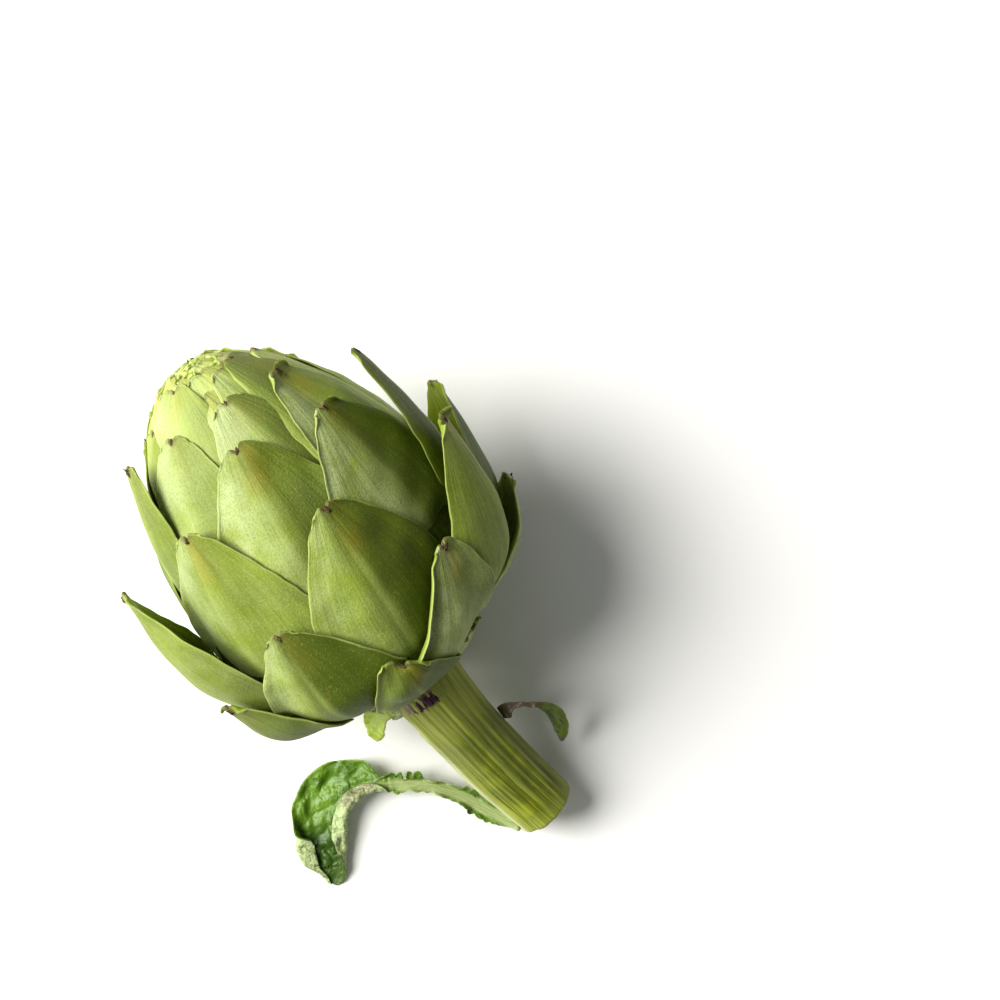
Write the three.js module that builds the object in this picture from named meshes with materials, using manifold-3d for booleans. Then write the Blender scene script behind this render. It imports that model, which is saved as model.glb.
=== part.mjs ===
// A globe artichoke lying on its side, with its cut stem, one long curled leaf and two small leaves.
// Millimetres, +Z up, resting on z = 0. The stem points to -X and the top of the head to +X.
import * as THREE from 'three';
import { mergeVertices } from 'three/addons/utils/BufferGeometryUtils.js';
import Module from 'manifold-3d';

const wasm = await Module();
wasm.setup();

// ---- Driving dimensions -------------------------------------------------------------------------

const HEAD_TILT = 22; // degrees that the head's axis rises from the surface towards its top
const AXIS_HEIGHT = 29.7; // height of the axis at the collar, where the stem goes into the head
const HEAD_RADIUS = 48.3;
const HEAD_LOWER_HEIGHT = 29; // base to widest ring, along the axis
const HEAD_UPPER_HEIGHT = 89; // widest ring to top
const WIDEST_AT = 37; // collar to widest ring
const SHOULDER_PINCH = 0.2; // how much slimmer than half an ellipse the head is towards its top
const CORE_DEPTH = 5; // the inner core lies this far under the envelope of the bract tips
const SHINGLE_SLOPE = 0.15; // how fast a bract sinks under its neighbours, per mm towards its root
const CUP_CURVATURE = 0.016; // extra curvature across a bract, per mm
const DEEP_CUP = 0.027; // the same, of a bract that stands off the head
const CUP_LIFT = 0.7; // share of the cupping that raises the midline instead of sinking the edges
const BLADE_THICKNESS = 1.9; // of a bract that stands off the head
const GOLDEN_ANGLE = 137.5; // degrees between one bract and the next
const FIRST_AZIMUTH = -38; // degrees, of bract 0; 0 is straight up, positive turns to +Y
const FIRST_BRACT = -9;
const LAST_BRACT = 54;

const STEM_RADIUS_TOP = 11.4;
const STEM_RADIUS_END = 10;
const STEM_RIBS = 11;
const STEM_RIB_HEIGHT = 0.35;
const GAP = 0.3; // between pieces that touch

// Middle of the whole object's outline in plan, measured from the head's base.
const PLAN_CENTRE = new THREE.Vector2(32.6, 2.8);

// Values that follow the bract's place in the spiral: [bract number, value], straight between.
const TIP_HEIGHT = [[-10, 15], [-6, 26], [-3, 36], [0, 50], [3, 61], [8, 82], [11, 92], [13, 98],
  [16, 106], [21, 112], [24, 115], [29, 119], [34, 122], [42, 124], [50, 125.4], [56, 125.8]];
const LENGTH = [[-10, 24], [-3, 40], [0, 48], [8, 58], [16, 56], [24, 48], [34, 38], [56, 22]];
const HALF_WIDTH = [[-10, 13], [-5, 17], [0, 21], [3, 23], [8, 24], [16, 21], [24, 18], [34, 11],
  [42, 8], [56, 4.5]];
const LOOSENESS = [[-10, 1], [0, 2], [16, 2], [24, 1], [30, 0.3], [56, 0]];

// Bracts that grew away from the rule. turn: degrees; tip: mm along the axis; open: mm that the tip
// stands off; flare: how late it bends off; lean: sideways slope of the root; half, tipHalf: half
// widths in mm; slant, ragged: how askew and how torn the end is, in mm.
const GROWN = {
  '-8': { turn: 14, tip: 17, open: -4, half: 12 },
  '-7': { turn: -18, tip: 19, open: -4, half: 11 },
  '-5': { turn: -2, tip: 34.5, half: 16, tipHalf: 8, ragged: 1.4, slant: 4.5 },
  '-3': { turn: -10, tip: 39, open: 9 },
  '-2': { turn: 3, tip: 50, open: 12, half: 16, flare: 1.4 },
  0: { turn: -1, tip: 52, lean: 0.12 },
  1: { tip: 48, open: 4 },
  3: { turn: 11 },
  5: { turn: 1.5, tip: 73, open: 12, lean: 0.1 },
  6: { turn: -8, tip: 84, open: 19, flare: 0.9 },
  8: { turn: 3, lean: 0.06 },
  10: { turn: -2.5, tip: 71, open: 14 },
  11: { turn: 7, tip: 93.5 },
  13: { turn: 3, tip: 98 },
  16: { turn: -2.5, tip: 106, lean: 0.1 },
  18: { turn: 11, tip: 98.5, open: 13, flare: 1 },
  19: { turn: -1, tip: 110, open: 12, flare: 0.9, half: 16, lean: 0.1 },
  21: { turn: -27, tip: 112 },
  24: { turn: 16, lean: 0.1 },
  26: { tip: 122.5 },
  29: { turn: -4, tip: 116, lean: -0.05 },
  31: { turn: 8, tip: 117.5, open: 2 },
  32: { turn: -7, tip: 125 },
  37: { turn: -11, tip: 120 },
  40: { turn: 18, tip: 123.5 },
};

const SOFT = {
  head: { color: 0x86a44c, roughness: 0.62, metalness: 0 },
  stem: { color: 0x8a9a3e, roughness: 0.6, metalness: 0 },
  leaf: { color: 0x4d7a26, roughness: 0.55, metalness: 0 },
  brightLeaf: { color: 0x9cc04a, roughness: 0.55, metalness: 0 },
};

// ---- Helpers ------------------------------------------------------------------------------------

const radians = THREE.MathUtils.degToRad;
const clamp = THREE.MathUtils.clamp;
const smooth = (x) => THREE.MathUtils.smoothstep(x, 0, 1);

/** Straight-line look-up in a list of [place, value]. */
function along(list, place) {
  const next = list.findIndex(([at]) => at >= place);
  if (next === 0) return list[0][1];
  if (next < 0) return list[list.length - 1][1];
  const [[x0, y0], [x1, y1]] = [list[next - 1], list[next]];
  return y0 + ((y1 - y0) * (place - x0)) / (x1 - x0);
}

/** The triangles of a grid of points, added to faces; flip turns them over. */
function gridFaces(first, rows, columns, flip, faces) {
  for (let i = 0; i < rows - 1; i++) {
    for (let j = 0; j < columns - 1; j++) {
      const a = first + i * columns + j;
      const b = a + 1;
      const c = a + columns;
      const d = c + 1;
      if (flip) faces.push(a, b, d, a, d, c);
      else faces.push(a, d, b, a, c, d);
    }
  }
}

/** A closed blade between two grids of points, with walls along all four borders. */
function bladeGeometry(top, bottom) {
  const rows = top.length;
  const columns = top[0].length;
  const points = [...top.flat(), ...bottom.flat()];
  const under = rows * columns;
  const faces = [];
  gridFaces(0, rows, columns, false, faces);
  gridFaces(under, rows, columns, true, faces);
  const border = [];
  for (let j = 0; j < columns; j++) border.push(j);
  for (let i = 1; i < rows; i++) border.push(i * columns + columns - 1);
  for (let j = columns - 2; j >= 0; j--) border.push((rows - 1) * columns + j);
  for (let i = rows - 2; i > 0; i--) border.push(i * columns);
  border.forEach((a, n) => {
    const b = border[(n + 1) % border.length];
    faces.push(a, b, under + b, a, under + b, under + a);
  });
  return meshGeometry(points, faces);
}

/** A closed tube through rings of points, with a flat fan at each end. */
function loftGeometry(rings) {
  const around = rings[0].length;
  const points = rings.flat();
  const faces = [];
  for (let i = 0; i < rings.length - 1; i++) {
    for (let j = 0; j < around; j++) {
      const a = i * around + j;
      const b = i * around + ((j + 1) % around);
      faces.push(a, b, b + around, a, b + around, a + around);
    }
  }
  for (const [ring, flip] of [[0, true], [rings.length - 1, false]]) {
    const centre = points.length;
    const middle = new THREE.Vector3();
    rings[ring].forEach((point) => middle.addScaledVector(point, 1 / around));
    points.push(middle);
    for (let j = 0; j < around; j++) {
      const a = ring * around + j;
      const b = ring * around + ((j + 1) % around);
      if (flip) faces.push(centre, b, a);
      else faces.push(centre, a, b);
    }
  }
  return meshGeometry(points, faces);
}

function meshGeometry(points, faces) {
  const geometry = new THREE.BufferGeometry();
  const flat = points.flatMap((point) => point.toArray());
  geometry.setAttribute('position', new THREE.Float32BufferAttribute(flat, 3));
  geometry.setIndex(faces);
  return geometry;
}

function toSolid(geometry) {
  const bare = geometry.clone();
  bare.deleteAttribute('normal');
  bare.deleteAttribute('uv');
  const merged = mergeVertices(bare, 1e-4);
  return new wasm.Manifold(new wasm.Mesh({
    numProp: 3,
    vertProperties: new Float32Array(merged.attributes.position.array),
    triVerts: new Uint32Array(merged.index.array),
  }));
}

/** The largest loose body of a solid, as a geometry; scraps that a cut left are dropped. */
function toGeometry(solid) {
  const bodies = solid.decompose();
  const largest = bodies.reduce((a, b) => (a.volume() > b.volume() ? a : b));
  const mesh = largest.getMesh();
  const geometry = new THREE.BufferGeometry();
  geometry.setAttribute('position', new THREE.Float32BufferAttribute(mesh.vertProperties, 3));
  geometry.setIndex([...mesh.triVerts]);
  return geometry;
}

function namedMesh(name, geometry, finish) {
  geometry.computeVertexNormals();
  const mesh = new THREE.Mesh(geometry, new THREE.MeshStandardMaterial(finish));
  mesh.name = name;
  return mesh;
}

// ---- Where the head lies --------------------------------------------------------------------------

// The head's own frame has its axis along +Z. Its -X side faces up when it lies down.
const bud = new THREE.Group();
bud.rotation.y = radians(90 - HEAD_TILT);
bud.position.z = AXIS_HEIGHT;
bud.updateMatrix();
const toBud = bud.matrix.clone().invert();

// ---- Head: a core with its bracts -----------------------------------------------------------------

/** The head's envelope in section: half an egg from base to top, as distance from axis and height. */
class Meridian extends THREE.Curve {
  constructor() {
    super();
    this.arcLengthDivisions = 400;
  }

  getPoint(t, target = new THREE.Vector3()) {
    const angle = Math.PI * t;
    const half = t < 0.5 ? HEAD_LOWER_HEIGHT : HEAD_UPPER_HEIGHT;
    const pinch = t < 0.5 ? 0 : SHOULDER_PINCH;
    const radius = HEAD_RADIUS * Math.sin(angle) * (1 - pinch * Math.cos(angle) ** 2);
    return target.set(radius, 0, WIDEST_AT - half * Math.cos(angle));
  }

  /** Radius, height and outward normal at a distance along the section. */
  at(distance) {
    const t = this.getUtoTmapping(0, clamp(distance, 0, this.getLength()));
    const angle = Math.PI * t;
    const half = t < 0.5 ? HEAD_LOWER_HEIGHT : HEAD_UPPER_HEIGHT;
    const pinch = t < 0.5 ? 0 : SHOULDER_PINCH;
    const rise = half * Math.sin(angle);
    const run = HEAD_RADIUS * Math.cos(angle) * (1 - pinch * (3 * Math.cos(angle) ** 2 - 2));
    const size = Math.hypot(rise, run);
    const { x: radius, z: height } = this.getPoint(t);
    return { radius, height, outR: rise / size, outH: -run / size };
  }

  /** Distance along the section of a height on the axis. */
  distanceOf(height) {
    let low = 0;
    let high = this.getLength();
    for (let i = 0; i < 40; i++) {
      const middle = (low + high) / 2;
      if (this.at(middle).height < height) low = middle;
      else high = middle;
    }
    return low;
  }
}
const meridian = new Meridian();

/** The size and place of bract n: the spiral's rule, and what it grew away from that. */
function bractShape(n) {
  const grown = GROWN[n] ?? {};
  const standsOff = (grown.open ?? 0) > 5;
  const tipAt = meridian.distanceOf(grown.tip ?? along(TIP_HEIGHT, n));
  return {
    azimuth: radians(FIRST_AZIMUTH + GOLDEN_ANGLE * n + (grown.turn ?? 0)),
    tipAt,
    length: Math.min(along(LENGTH, n), tipAt - 5),
    half: grown.half ?? along(HALF_WIDTH, n),
    tipHalf: grown.tipHalf ?? Math.min(3.6, along(HALF_WIDTH, n) * 0.4),
    open: grown.open ?? along(LOOSENESS, n),
    lean: grown.lean ?? 0,
    ragged: grown.ragged ?? 0,
    standsOff,
    cup: standsOff ? DEEP_CUP : CUP_CURVATURE,
    slant: grown.slant ?? 0,
    flare: grown.flare ?? (standsOff ? 1.2 : 2),
  };
}

/** Half width of a bract at u, 0 at its root and 1 at its tip: widest two fifths of the way up. */
function halfWidthAt(bract, u) {
  const widest = 0.42;
  const narrowing = clamp((u - widest) / (1 - widest), 0, 1) ** 1.3;
  const rooting = 0.3 * clamp((widest - u) / widest, 0, 1) ** 2;
  return bract.tipHalf + (bract.half - bract.tipHalf) * (1 - narrowing - rooting);
}

/** A point on a bract's outer or inner face: u from root to tip, v from -1 to 1 between its edges. */
function bractPoint(bract, u, v, inner) {
  const half = halfWidthAt(bract, u);
  const notched = 2 * Math.abs(v) ** 3 + 1.3 * Math.exp(-((v / 0.25) ** 2));
  const cutBack = bract.ragged ? bract.ragged * Math.sin(v * 17) : notched;
  const ending = bract.slant * v * u - cutBack * smooth((u - 0.93) / 0.07);
  const place = bract.tipAt - bract.length * (1 - u) + ending;
  const { radius, height, outR, outH } = meridian.at(place);

  const shellCurvature = Math.max(Math.abs(outR), 0.35) / Math.max(radius, 6);
  const curvature = Math.min(shellCurvature + bract.cup, 1.35 / half);
  const cup = Math.max(curvature - shellCurvature, 0);
  const angle = half * v * curvature;
  const side = Math.sin(angle) / curvature + bract.lean * bract.length * (1 - u);
  const drop = (1 - Math.cos(angle)) / curvature;
  const lift = CUP_LIFT * (half ** 2 / 2) * cup;
  const sunk = SHINGLE_SLOPE * bract.length * (1 - u);
  const off = bract.open * Math.max((u - 0.1) / 0.9, 0) ** bract.flare;
  const outer = lift - drop - sunk + off;
  let out = outer;
  if (inner && bract.standsOff) out = outer - BLADE_THICKNESS * (1.25 - 0.5 * v * v - 0.35 * u);
  else if (inner) out = Math.min(outer - 1.5, -CORE_DEPTH - 1.5);

  const r = radius + outR * out;
  const { azimuth } = bract;
  return new THREE.Vector3(
    -(r * Math.cos(azimuth) - side * Math.sin(azimuth)),
    r * Math.sin(azimuth) + side * Math.cos(azimuth),
    height + outH * out,
  );
}

function bractGeometry(bract, rows, columns) {
  const face = (inner) => Array.from({ length: rows + 1 }, (_, i) =>
    Array.from({ length: columns + 1 }, (__, j) =>
      bractPoint(bract, i / rows, (2 * j) / columns - 1, inner)));
  return bladeGeometry(face(false), face(true));
}

function coreGeometry() {
  const steps = 14;
  const length = meridian.getLength();
  const profile = Array.from({ length: steps + 1 }, (_, i) => {
    const { radius, height, outR, outH } = meridian.at((length * i) / steps);
    const inset = i === 0 || i === steps ? 0 : radius - outR * CORE_DEPTH;
    return new THREE.Vector2(Math.max(inset, 0), height - outH * CORE_DEPTH);
  });
  const lathe = new THREE.LatheGeometry(profile, 28);
  return lathe.rotateX(Math.PI / 2);
}

function headSolid() {
  let head = toSolid(coreGeometry());
  for (let n = FIRST_BRACT; n <= LAST_BRACT; n++) {
    const [rows, columns] = n < 28 ? [5, 6] : [4, 4];
    head = head.add(toSolid(bractGeometry(bractShape(n), rows, columns)));
  }
  return head;
}

// ---- Stem -----------------------------------------------------------------------------------------

/** The stem's middle line in the head's frame, from inside the head to the cut end. */
const stemLine = new THREE.CatmullRomCurve3([
  new THREE.Vector3(0, 0, 15),
  new THREE.Vector3(0, -0.3, -2),
  new THREE.Vector3(0.2, -2.6, -28),
  new THREE.Vector3(0.5, -6.2, -53),
]);

function stemGeometry(grow) {
  const steps = 6;
  const around = 44;
  const rings = [];
  for (let i = 0; i <= steps; i++) {
    const t = i / steps;
    const centre = stemLine.getPoint(t);
    const ahead = stemLine.getTangent(t);
    if (grow && i === 0) centre.addScaledVector(ahead, -grow);
    if (grow && i === steps) centre.addScaledVector(ahead, grow);
    const across = new THREE.Vector3(0, 1, 0).cross(ahead).normalize();
    const other = new THREE.Vector3().crossVectors(ahead, across);
    const flare = STEM_RADIUS_TOP - STEM_RADIUS_END;
    const size = STEM_RADIUS_END + flare * (1 - smooth(t * 1.6)) + grow;
    rings.push(Array.from({ length: around }, (_, j) => {
      const turn = (2 * Math.PI * j) / around;
      const radius = size + STEM_RIB_HEIGHT * Math.cos(STEM_RIBS * turn);
      return centre.clone()
        .addScaledVector(across, radius * Math.cos(turn))
        .addScaledVector(other, radius * Math.sin(turn));
    }));
  }
  return loftGeometry(rings);
}

// ---- Leaves ---------------------------------------------------------------------------------------

/** A leaf swept along its midrib. Each station gives the two half widths, how far the outer half
 *  slopes down, and how far each margin curls over, in mm and degrees. */
function leafGeometry(leaf, rows) {
  const line = new THREE.CatmullRomCurve3(leaf.midrib.map((point) => new THREE.Vector3(...point)));
  const ups = new THREE.Vector3(...(leaf.up ?? [0, 0, 1]));
  const top = [];
  const bottom = [];
  for (let i = 0; i <= rows; i++) {
    const t = i / rows;
    const [outer, inner, slope, outerCurl, innerCurl] = [0, 1, 2, 3, 4].map((which) =>
      along(leaf.stations.map((station) => [station[0], station[which + 1]]), t));
    const centre = line.getPointAt(t);
    const ahead = line.getTangentAt(t);
    const right = new THREE.Vector3().crossVectors(ahead, ups).normalize();
    const up = new THREE.Vector3().crossVectors(right, ahead);
    const halves = [
      leafHalf(inner, 0, innerCurl, leaf.columns).map(([x, y, turn]) => [-x, y, -turn]).reverse(),
      leafHalf(outer, slope, outerCurl, leaf.columns).slice(1),
    ];
    const section = halves.flat();
    const rowTop = [];
    const rowBottom = [];
    section.forEach(([x, y, turn], j) => {
      const margin = Math.abs(j / leaf.columns - 1);
      const wave = leaf.wave * margin ** 2 * Math.sin(t * leaf.waves + (j < leaf.columns ? 2 : 0));
      const rib = leaf.rib * (1 - smooth(t * 1.1)) * Math.exp(-((x / 1.4) ** 2));
      const place = (lift) => centre.clone()
        .addScaledVector(right, x - Math.sin(turn) * lift)
        .addScaledVector(up, y + Math.cos(turn) * lift);
      rowTop.push(place(leaf.thickness / 2 + wave));
      rowBottom.push(place(-leaf.thickness / 2 - rib + wave));
    });
    top.push(rowTop);
    bottom.push(rowBottom);
  }
  return bladeGeometry(bottom, top);
}

/** One half of a leaf's section, from the midrib out: [across, up, direction]. */
function leafHalf(width, slope, curl, columns) {
  const steps = 4;
  const half = [[0, 0, radians(-slope)]];
  let [x, y] = [0, 0];
  for (let j = 1; j <= columns; j++) {
    let turn = 0;
    for (let k = 1; k <= steps; k++) {
      const q = (j - 1 + k / steps) / columns;
      turn = radians(-slope * (1 - smooth(q * 1.3)) + curl * smooth((q - 0.15) / 0.75));
      x += (Math.cos(turn) * width) / (columns * steps);
      y += (Math.sin(turn) * width) / (columns * steps);
    }
    half.push([x, y, turn]);
  }
  return half;
}

// Stations: [place along the midrib, outer half, inner half, slope, outer curl, inner curl].
// Wave is the height of the ripples at the margins, and waves how quickly they follow each other.
const curledLeaf = {
  midrib: [[-46, 4.5, 5], [-39.5, 7.8, 5], [-33.7, 11.1, 5.5], [-26.2, 16, 6.5], [-20, 22.5, 7],
    [-15.6, 28.5, 7], [-12.3, 33.5, 6.5], [-11.3, 38.5, 6], [-12.8, 43.5, 5.5], [-16.3, 47.8, 5],
    [-22.5, 52.8, 3.5], [-27, 57.3, 2], [-29.8, 61, 0.6]],
  stations: [[0, 2.2, 2.2, 0, 10, 10], [0.3, 2.6, 2.4, 0, 30, 20], [0.45, 2.8, 2.2, 0, 40, 40],
    [0.52, 9, 5, 35, 20, 120], [0.62, 15, 8, 32, 10, 190], [0.72, 16.5, 8, 28, 20, 200],
    [0.8, 18.5, 7, 20, 120, 190], [0.9, 16, 5, 10, 170, 150], [1, 3, 1.6, 0, 120, 60]],
  columns: 5,
  thickness: 0.9,
  rib: 1.6,
  wave: 0.5,
  waves: 60,
};
const baseLeaf = {
  midrib: [[-0.5, 11.4, 25.1], [1.5, 13.6, 24.2], [3, 16.5, 23], [3.2, 19.2, 21], [1.6, 21.6, 18.2],
    [-0.8, 23.4, 15.6]],
  stations: [[0, 0.9, 0.9, 0, 0, 0], [0.35, 1.6, 1.6, 0, 20, 20], [0.6, 4, 3.6, 0, 20, 20],
    [0.85, 3.8, 3.6, 0, 10, 10], [1, 2, 2, 0, 0, 0]],
  up: [0.45, 0.5, 0.75],
  columns: 3,
  thickness: 0.8,
  rib: 0.4,
  wave: 0.15,
  waves: 20,
};
const sideLeaf = {
  midrib: [[-16.6, -12.2, 22.1], [-17.6, -16, 23.8], [-19.2, -19.6, 24.3], [-21.8, -23, 23.8],
    [-25, -25.9, 22], [-28.6, -26.4, 18.6], [-32.6, -24.9, 15], [-36.4, -22.4, 11.6]],
  stations: [[0, 1.1, 1.1, 0, 0, 0], [0.15, 0.7, 0.7, 0, 0, 0], [0.4, 0.9, 0.8, 0, 0, 0],
    [0.6, 2.2, 2.2, 20, 30, 30], [0.8, 2.3, 2.4, 20, 30, 30], [0.93, 1.2, 1.3, 10, 20, 20],
    [1, 0.5, 0.5, 0, 0, 0]],
  columns: 3,
  thickness: 0.8,
  rib: 0.5,
  wave: 0.1,
  waves: 15,
};

// ---- Assembly -------------------------------------------------------------------------------------

const stemCutter = toSolid(stemGeometry(GAP));
const floor = new THREE.BoxGeometry(400, 400, 40).translate(0, 0, -20).applyMatrix4(toBud);
const headGeometry = toGeometry(headSolid().subtract(stemCutter).subtract(toSolid(floor)));
bud.add(namedMesh('head', headGeometry, SOFT.head));
bud.add(namedMesh('stem', stemGeometry(0), SOFT.stem));

/** Leaves are set in the object's frame and keep clear of the stem. */
function leafMesh(name, leaf, rows, finish) {
  const cutter = toSolid(stemGeometry(GAP).applyMatrix4(bud.matrix));
  return namedMesh(name, toGeometry(toSolid(leafGeometry(leaf, rows)).subtract(cutter)), finish);
}

const artichoke = new THREE.Group();
artichoke.position.set(-PLAN_CENTRE.x, -PLAN_CENTRE.y, 0);
artichoke.add(bud);
artichoke.add(leafMesh('curled_leaf', curledLeaf, 32, SOFT.leaf));
artichoke.add(leafMesh('base_leaf', baseLeaf, 10, SOFT.brightLeaf));
artichoke.add(leafMesh('side_leaf', sideLeaf, 14, SOFT.leaf));

export default artichoke;
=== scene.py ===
# %% [markdown]
# # A globe artichoke, lying on its side
#
# An artichoke is a flower bud. Sixty fleshy scales, called bracts, are set on it in a spiral and
# overlap like roof tiles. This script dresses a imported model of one, node by node: the bracts, the stem
# and the leaves are made again as fine meshes, and each gets a material built from nodes.
#
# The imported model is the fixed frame, so everything here is worked out in its coordinates. Lengths are
# written in millimetres, because that is how a grower would measure them, and turned into metres only
# where a mesh is made.

import math

import bpy
import numpy as np
from mathutils import Matrix, Vector


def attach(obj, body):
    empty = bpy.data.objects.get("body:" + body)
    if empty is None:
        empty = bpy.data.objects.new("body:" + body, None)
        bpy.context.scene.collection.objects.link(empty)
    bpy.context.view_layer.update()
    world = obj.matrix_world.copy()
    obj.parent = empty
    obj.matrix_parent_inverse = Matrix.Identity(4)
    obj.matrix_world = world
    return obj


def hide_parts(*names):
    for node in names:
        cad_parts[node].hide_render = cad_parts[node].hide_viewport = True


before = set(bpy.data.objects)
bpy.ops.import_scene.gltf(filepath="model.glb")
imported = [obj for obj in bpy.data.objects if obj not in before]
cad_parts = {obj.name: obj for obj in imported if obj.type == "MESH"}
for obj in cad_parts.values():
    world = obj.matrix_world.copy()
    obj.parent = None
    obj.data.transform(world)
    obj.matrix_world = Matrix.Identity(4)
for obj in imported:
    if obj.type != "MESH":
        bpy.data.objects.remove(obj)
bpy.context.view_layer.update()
MM = 0.001
print("nodes to dress:", sorted(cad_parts))

# %% [markdown]
# ## The camera
#
# The bud is seen from straight above, from 70 cm, with a short telephoto lens that keeps its shape
# natural. A camera looks along its own -Z and has +Y as up, so the three directions of the picture
# fill the columns of its matrix, and no angles have to be guessed.

# %% Camera
CAMERA_PLACE = (2.64, -52.75, 700)
PICTURE_RIGHT = Vector((-0.585, -0.811, 0)).normalized()
SENSOR_WIDTH = 36
FOCAL_LENGTH = 80.8


def looking_down(place, right):
    """The matrix of something that looks straight down, with the given direction to its right."""
    up = Vector((0, 0, 1)).cross(right)
    rows = [(right[i], up[i], float(i == 2), place[i] * MM) for i in range(3)]
    return Matrix(rows + [(0, 0, 0, 1)])


camera_data = bpy.data.cameras.new("camera")
camera_data.sensor_width = SENSOR_WIDTH
camera_data.lens = FOCAL_LENGTH
camera = bpy.data.objects.new("camera", camera_data)
camera.matrix_world = looking_down(CAMERA_PLACE, PICTURE_RIGHT)
bpy.context.scene.collection.objects.link(camera)
bpy.context.scene.camera = camera
print("camera looks down from", CAMERA_PLACE[2], "mm")

# %% [markdown]
# ## The table and the light
#
# The bud lies on a white table. One large soft lamp stands to the left of the picture and a little
# above it, low enough to rake across the bracts, so that each shows a lit half and a shaded half with
# the ridge of its midline between them. A bright even sky fills the shadows. The table is a wide
# plane: it is part of the stage and not of the object.

# %% Table, lamp and sky
TABLE_SIZE = 6000
LAMP_BEARING = 10  # degrees above the left of the picture
LAMP_ELEVATION = 44
LAMP_DISTANCE = 1600
LAMP_SIZE = 1350
LAMP_POWER = 60
SKY_NEAR = 0.42  # on the lamp's side
SKY_FAR = 0.05


def table_finish():
    material = bpy.data.materials.new("white_table")
    material.use_nodes = True
    shader = material.node_tree.nodes["Principled BSDF"]
    grain = material.node_tree.nodes.new("ShaderNodeTexNoise")
    grain.inputs["Scale"].default_value = 3
    tone = material.node_tree.nodes.new("ShaderNodeMix")
    tone.data_type = "RGBA"
    tone.inputs["A"].default_value = (0.90, 0.90, 0.88, 1)
    tone.inputs["B"].default_value = (0.93, 0.93, 0.92, 1)
    material.node_tree.links.new(grain.outputs["Fac"], tone.inputs["Factor"])
    material.node_tree.links.new(tone.outputs["Result"], shader.inputs["Base Color"])
    shader.inputs["Roughness"].default_value = 0.75
    shader.inputs["Specular IOR Level"].default_value = 0.2
    return material


half_table = TABLE_SIZE / 2 * MM
corners = [(-half_table, -half_table, 0), (half_table, -half_table, 0),
           (half_table, half_table, 0), (-half_table, half_table, 0)]
table_mesh = bpy.data.meshes.new("table")
table_mesh.from_pydata(corners, [], [(0, 1, 2, 3)])
table_mesh.materials.append(table_finish())
table = bpy.data.objects.new("table", table_mesh)
bpy.context.scene.collection.objects.link(table)

picture_up = Vector((0, 0, 1)).cross(PICTURE_RIGHT)
bearing = math.radians(LAMP_BEARING)
elevation = math.radians(LAMP_ELEVATION)
sideways = -PICTURE_RIGHT * math.cos(bearing) + picture_up * math.sin(bearing)
towards_lamp = sideways * math.cos(elevation) + Vector((0, 0, 1)) * math.sin(elevation)
lamp_data = bpy.data.lights.new("lamp", "AREA")
lamp_data.shape = "DISK"
lamp_data.size = LAMP_SIZE * MM
lamp_data.energy = LAMP_POWER
lamp_data.color = (1.0, 0.985, 0.95)
lamp = bpy.data.objects.new("lamp", lamp_data)
lamp.location = towards_lamp * LAMP_DISTANCE * MM
lamp.rotation_euler = towards_lamp.to_track_quat("Z", "Y").to_euler()
bpy.context.scene.collection.objects.link(lamp)

sky = bpy.data.worlds.new("sky")
sky.use_nodes = True
background = sky.node_tree.nodes["Background"]
background.inputs["Color"].default_value = (0.98, 0.99, 1.0, 1)
outlook = sky.node_tree.nodes.new("ShaderNodeTexCoord")
facing = sky.node_tree.nodes.new("ShaderNodeVectorMath")
facing.operation = "DOT_PRODUCT"
facing.inputs[1].default_value = sideways
brightness = sky.node_tree.nodes.new("ShaderNodeMapRange")
for title, number in (("From Min", -1), ("From Max", 1), ("To Min", SKY_FAR), ("To Max", SKY_NEAR)):
    brightness.inputs[title].default_value = number
sky.node_tree.links.new(outlook.outputs["Generated"], facing.inputs[0])
sky.node_tree.links.new(facing.outputs["Value"], brightness.inputs["Value"])
sky.node_tree.links.new(brightness.outputs["Result"], background.inputs["Strength"])
bpy.context.scene.world = sky
bpy.context.scene.view_settings.view_transform = "Standard"
print("lamp stands towards", [round(c, 2) for c in towards_lamp])

# %% [markdown]
# ## Where the bud lies
#
# The bracts are easiest to think of with the bud upright, in its own frame: *axis* runs up through it
# from the collar, where the stem goes in, and *up* and *side* are the two directions across it. This
# one function then lays the bud down: its axis rises 22 degrees from the table, and its lowest bracts
# are pressed flat where they touch.

# %% Lay the bud down
BUD_TILT = math.radians(22)
AXIS_HEIGHT = 29.7
PLAN_CENTRE = (32.6, 2.8)
PRESSED = 0.3


def lie_down(upright):
    """Points (up, side, axis) of the upright bud, as points of the frame, in mm."""
    up, side, axis = upright[..., 0], upright[..., 1], upright[..., 2]
    along = axis * math.cos(BUD_TILT) - up * math.sin(BUD_TILT)
    height = axis * math.sin(BUD_TILT) + up * math.cos(BUD_TILT) + AXIS_HEIGHT
    return np.stack([along - PLAN_CENTRE[0], side - PLAN_CENTRE[1], height], -1)


def press_flat(points):
    """Nothing goes through the table: what would is pressed flat on it, and keeps its layers in order."""
    height = points[..., 2]
    pressed = (height + np.sqrt(height ** 2 + PRESSED ** 2)) / 2
    points[..., 2] = np.where(height < 2, pressed, height)
    return points


# %% [markdown]
# ## The shape of the bud
#
# Seen from the side, the envelope of the bracts' tips is an egg: blunt and wide near the stem, slimmer
# at its shoulders. Places on it are measured along its curve, from the middle of the base to the top,
# because a bract of a given length lies along that curve.

# %% The envelope
BUD_RADIUS = 48.3
LOWER_HEIGHT = 29
UPPER_HEIGHT = 89
WIDEST_AT = 37
SHOULDER_PINCH = 0.2

section_angle = np.linspace(0, np.pi, 2001)


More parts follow.
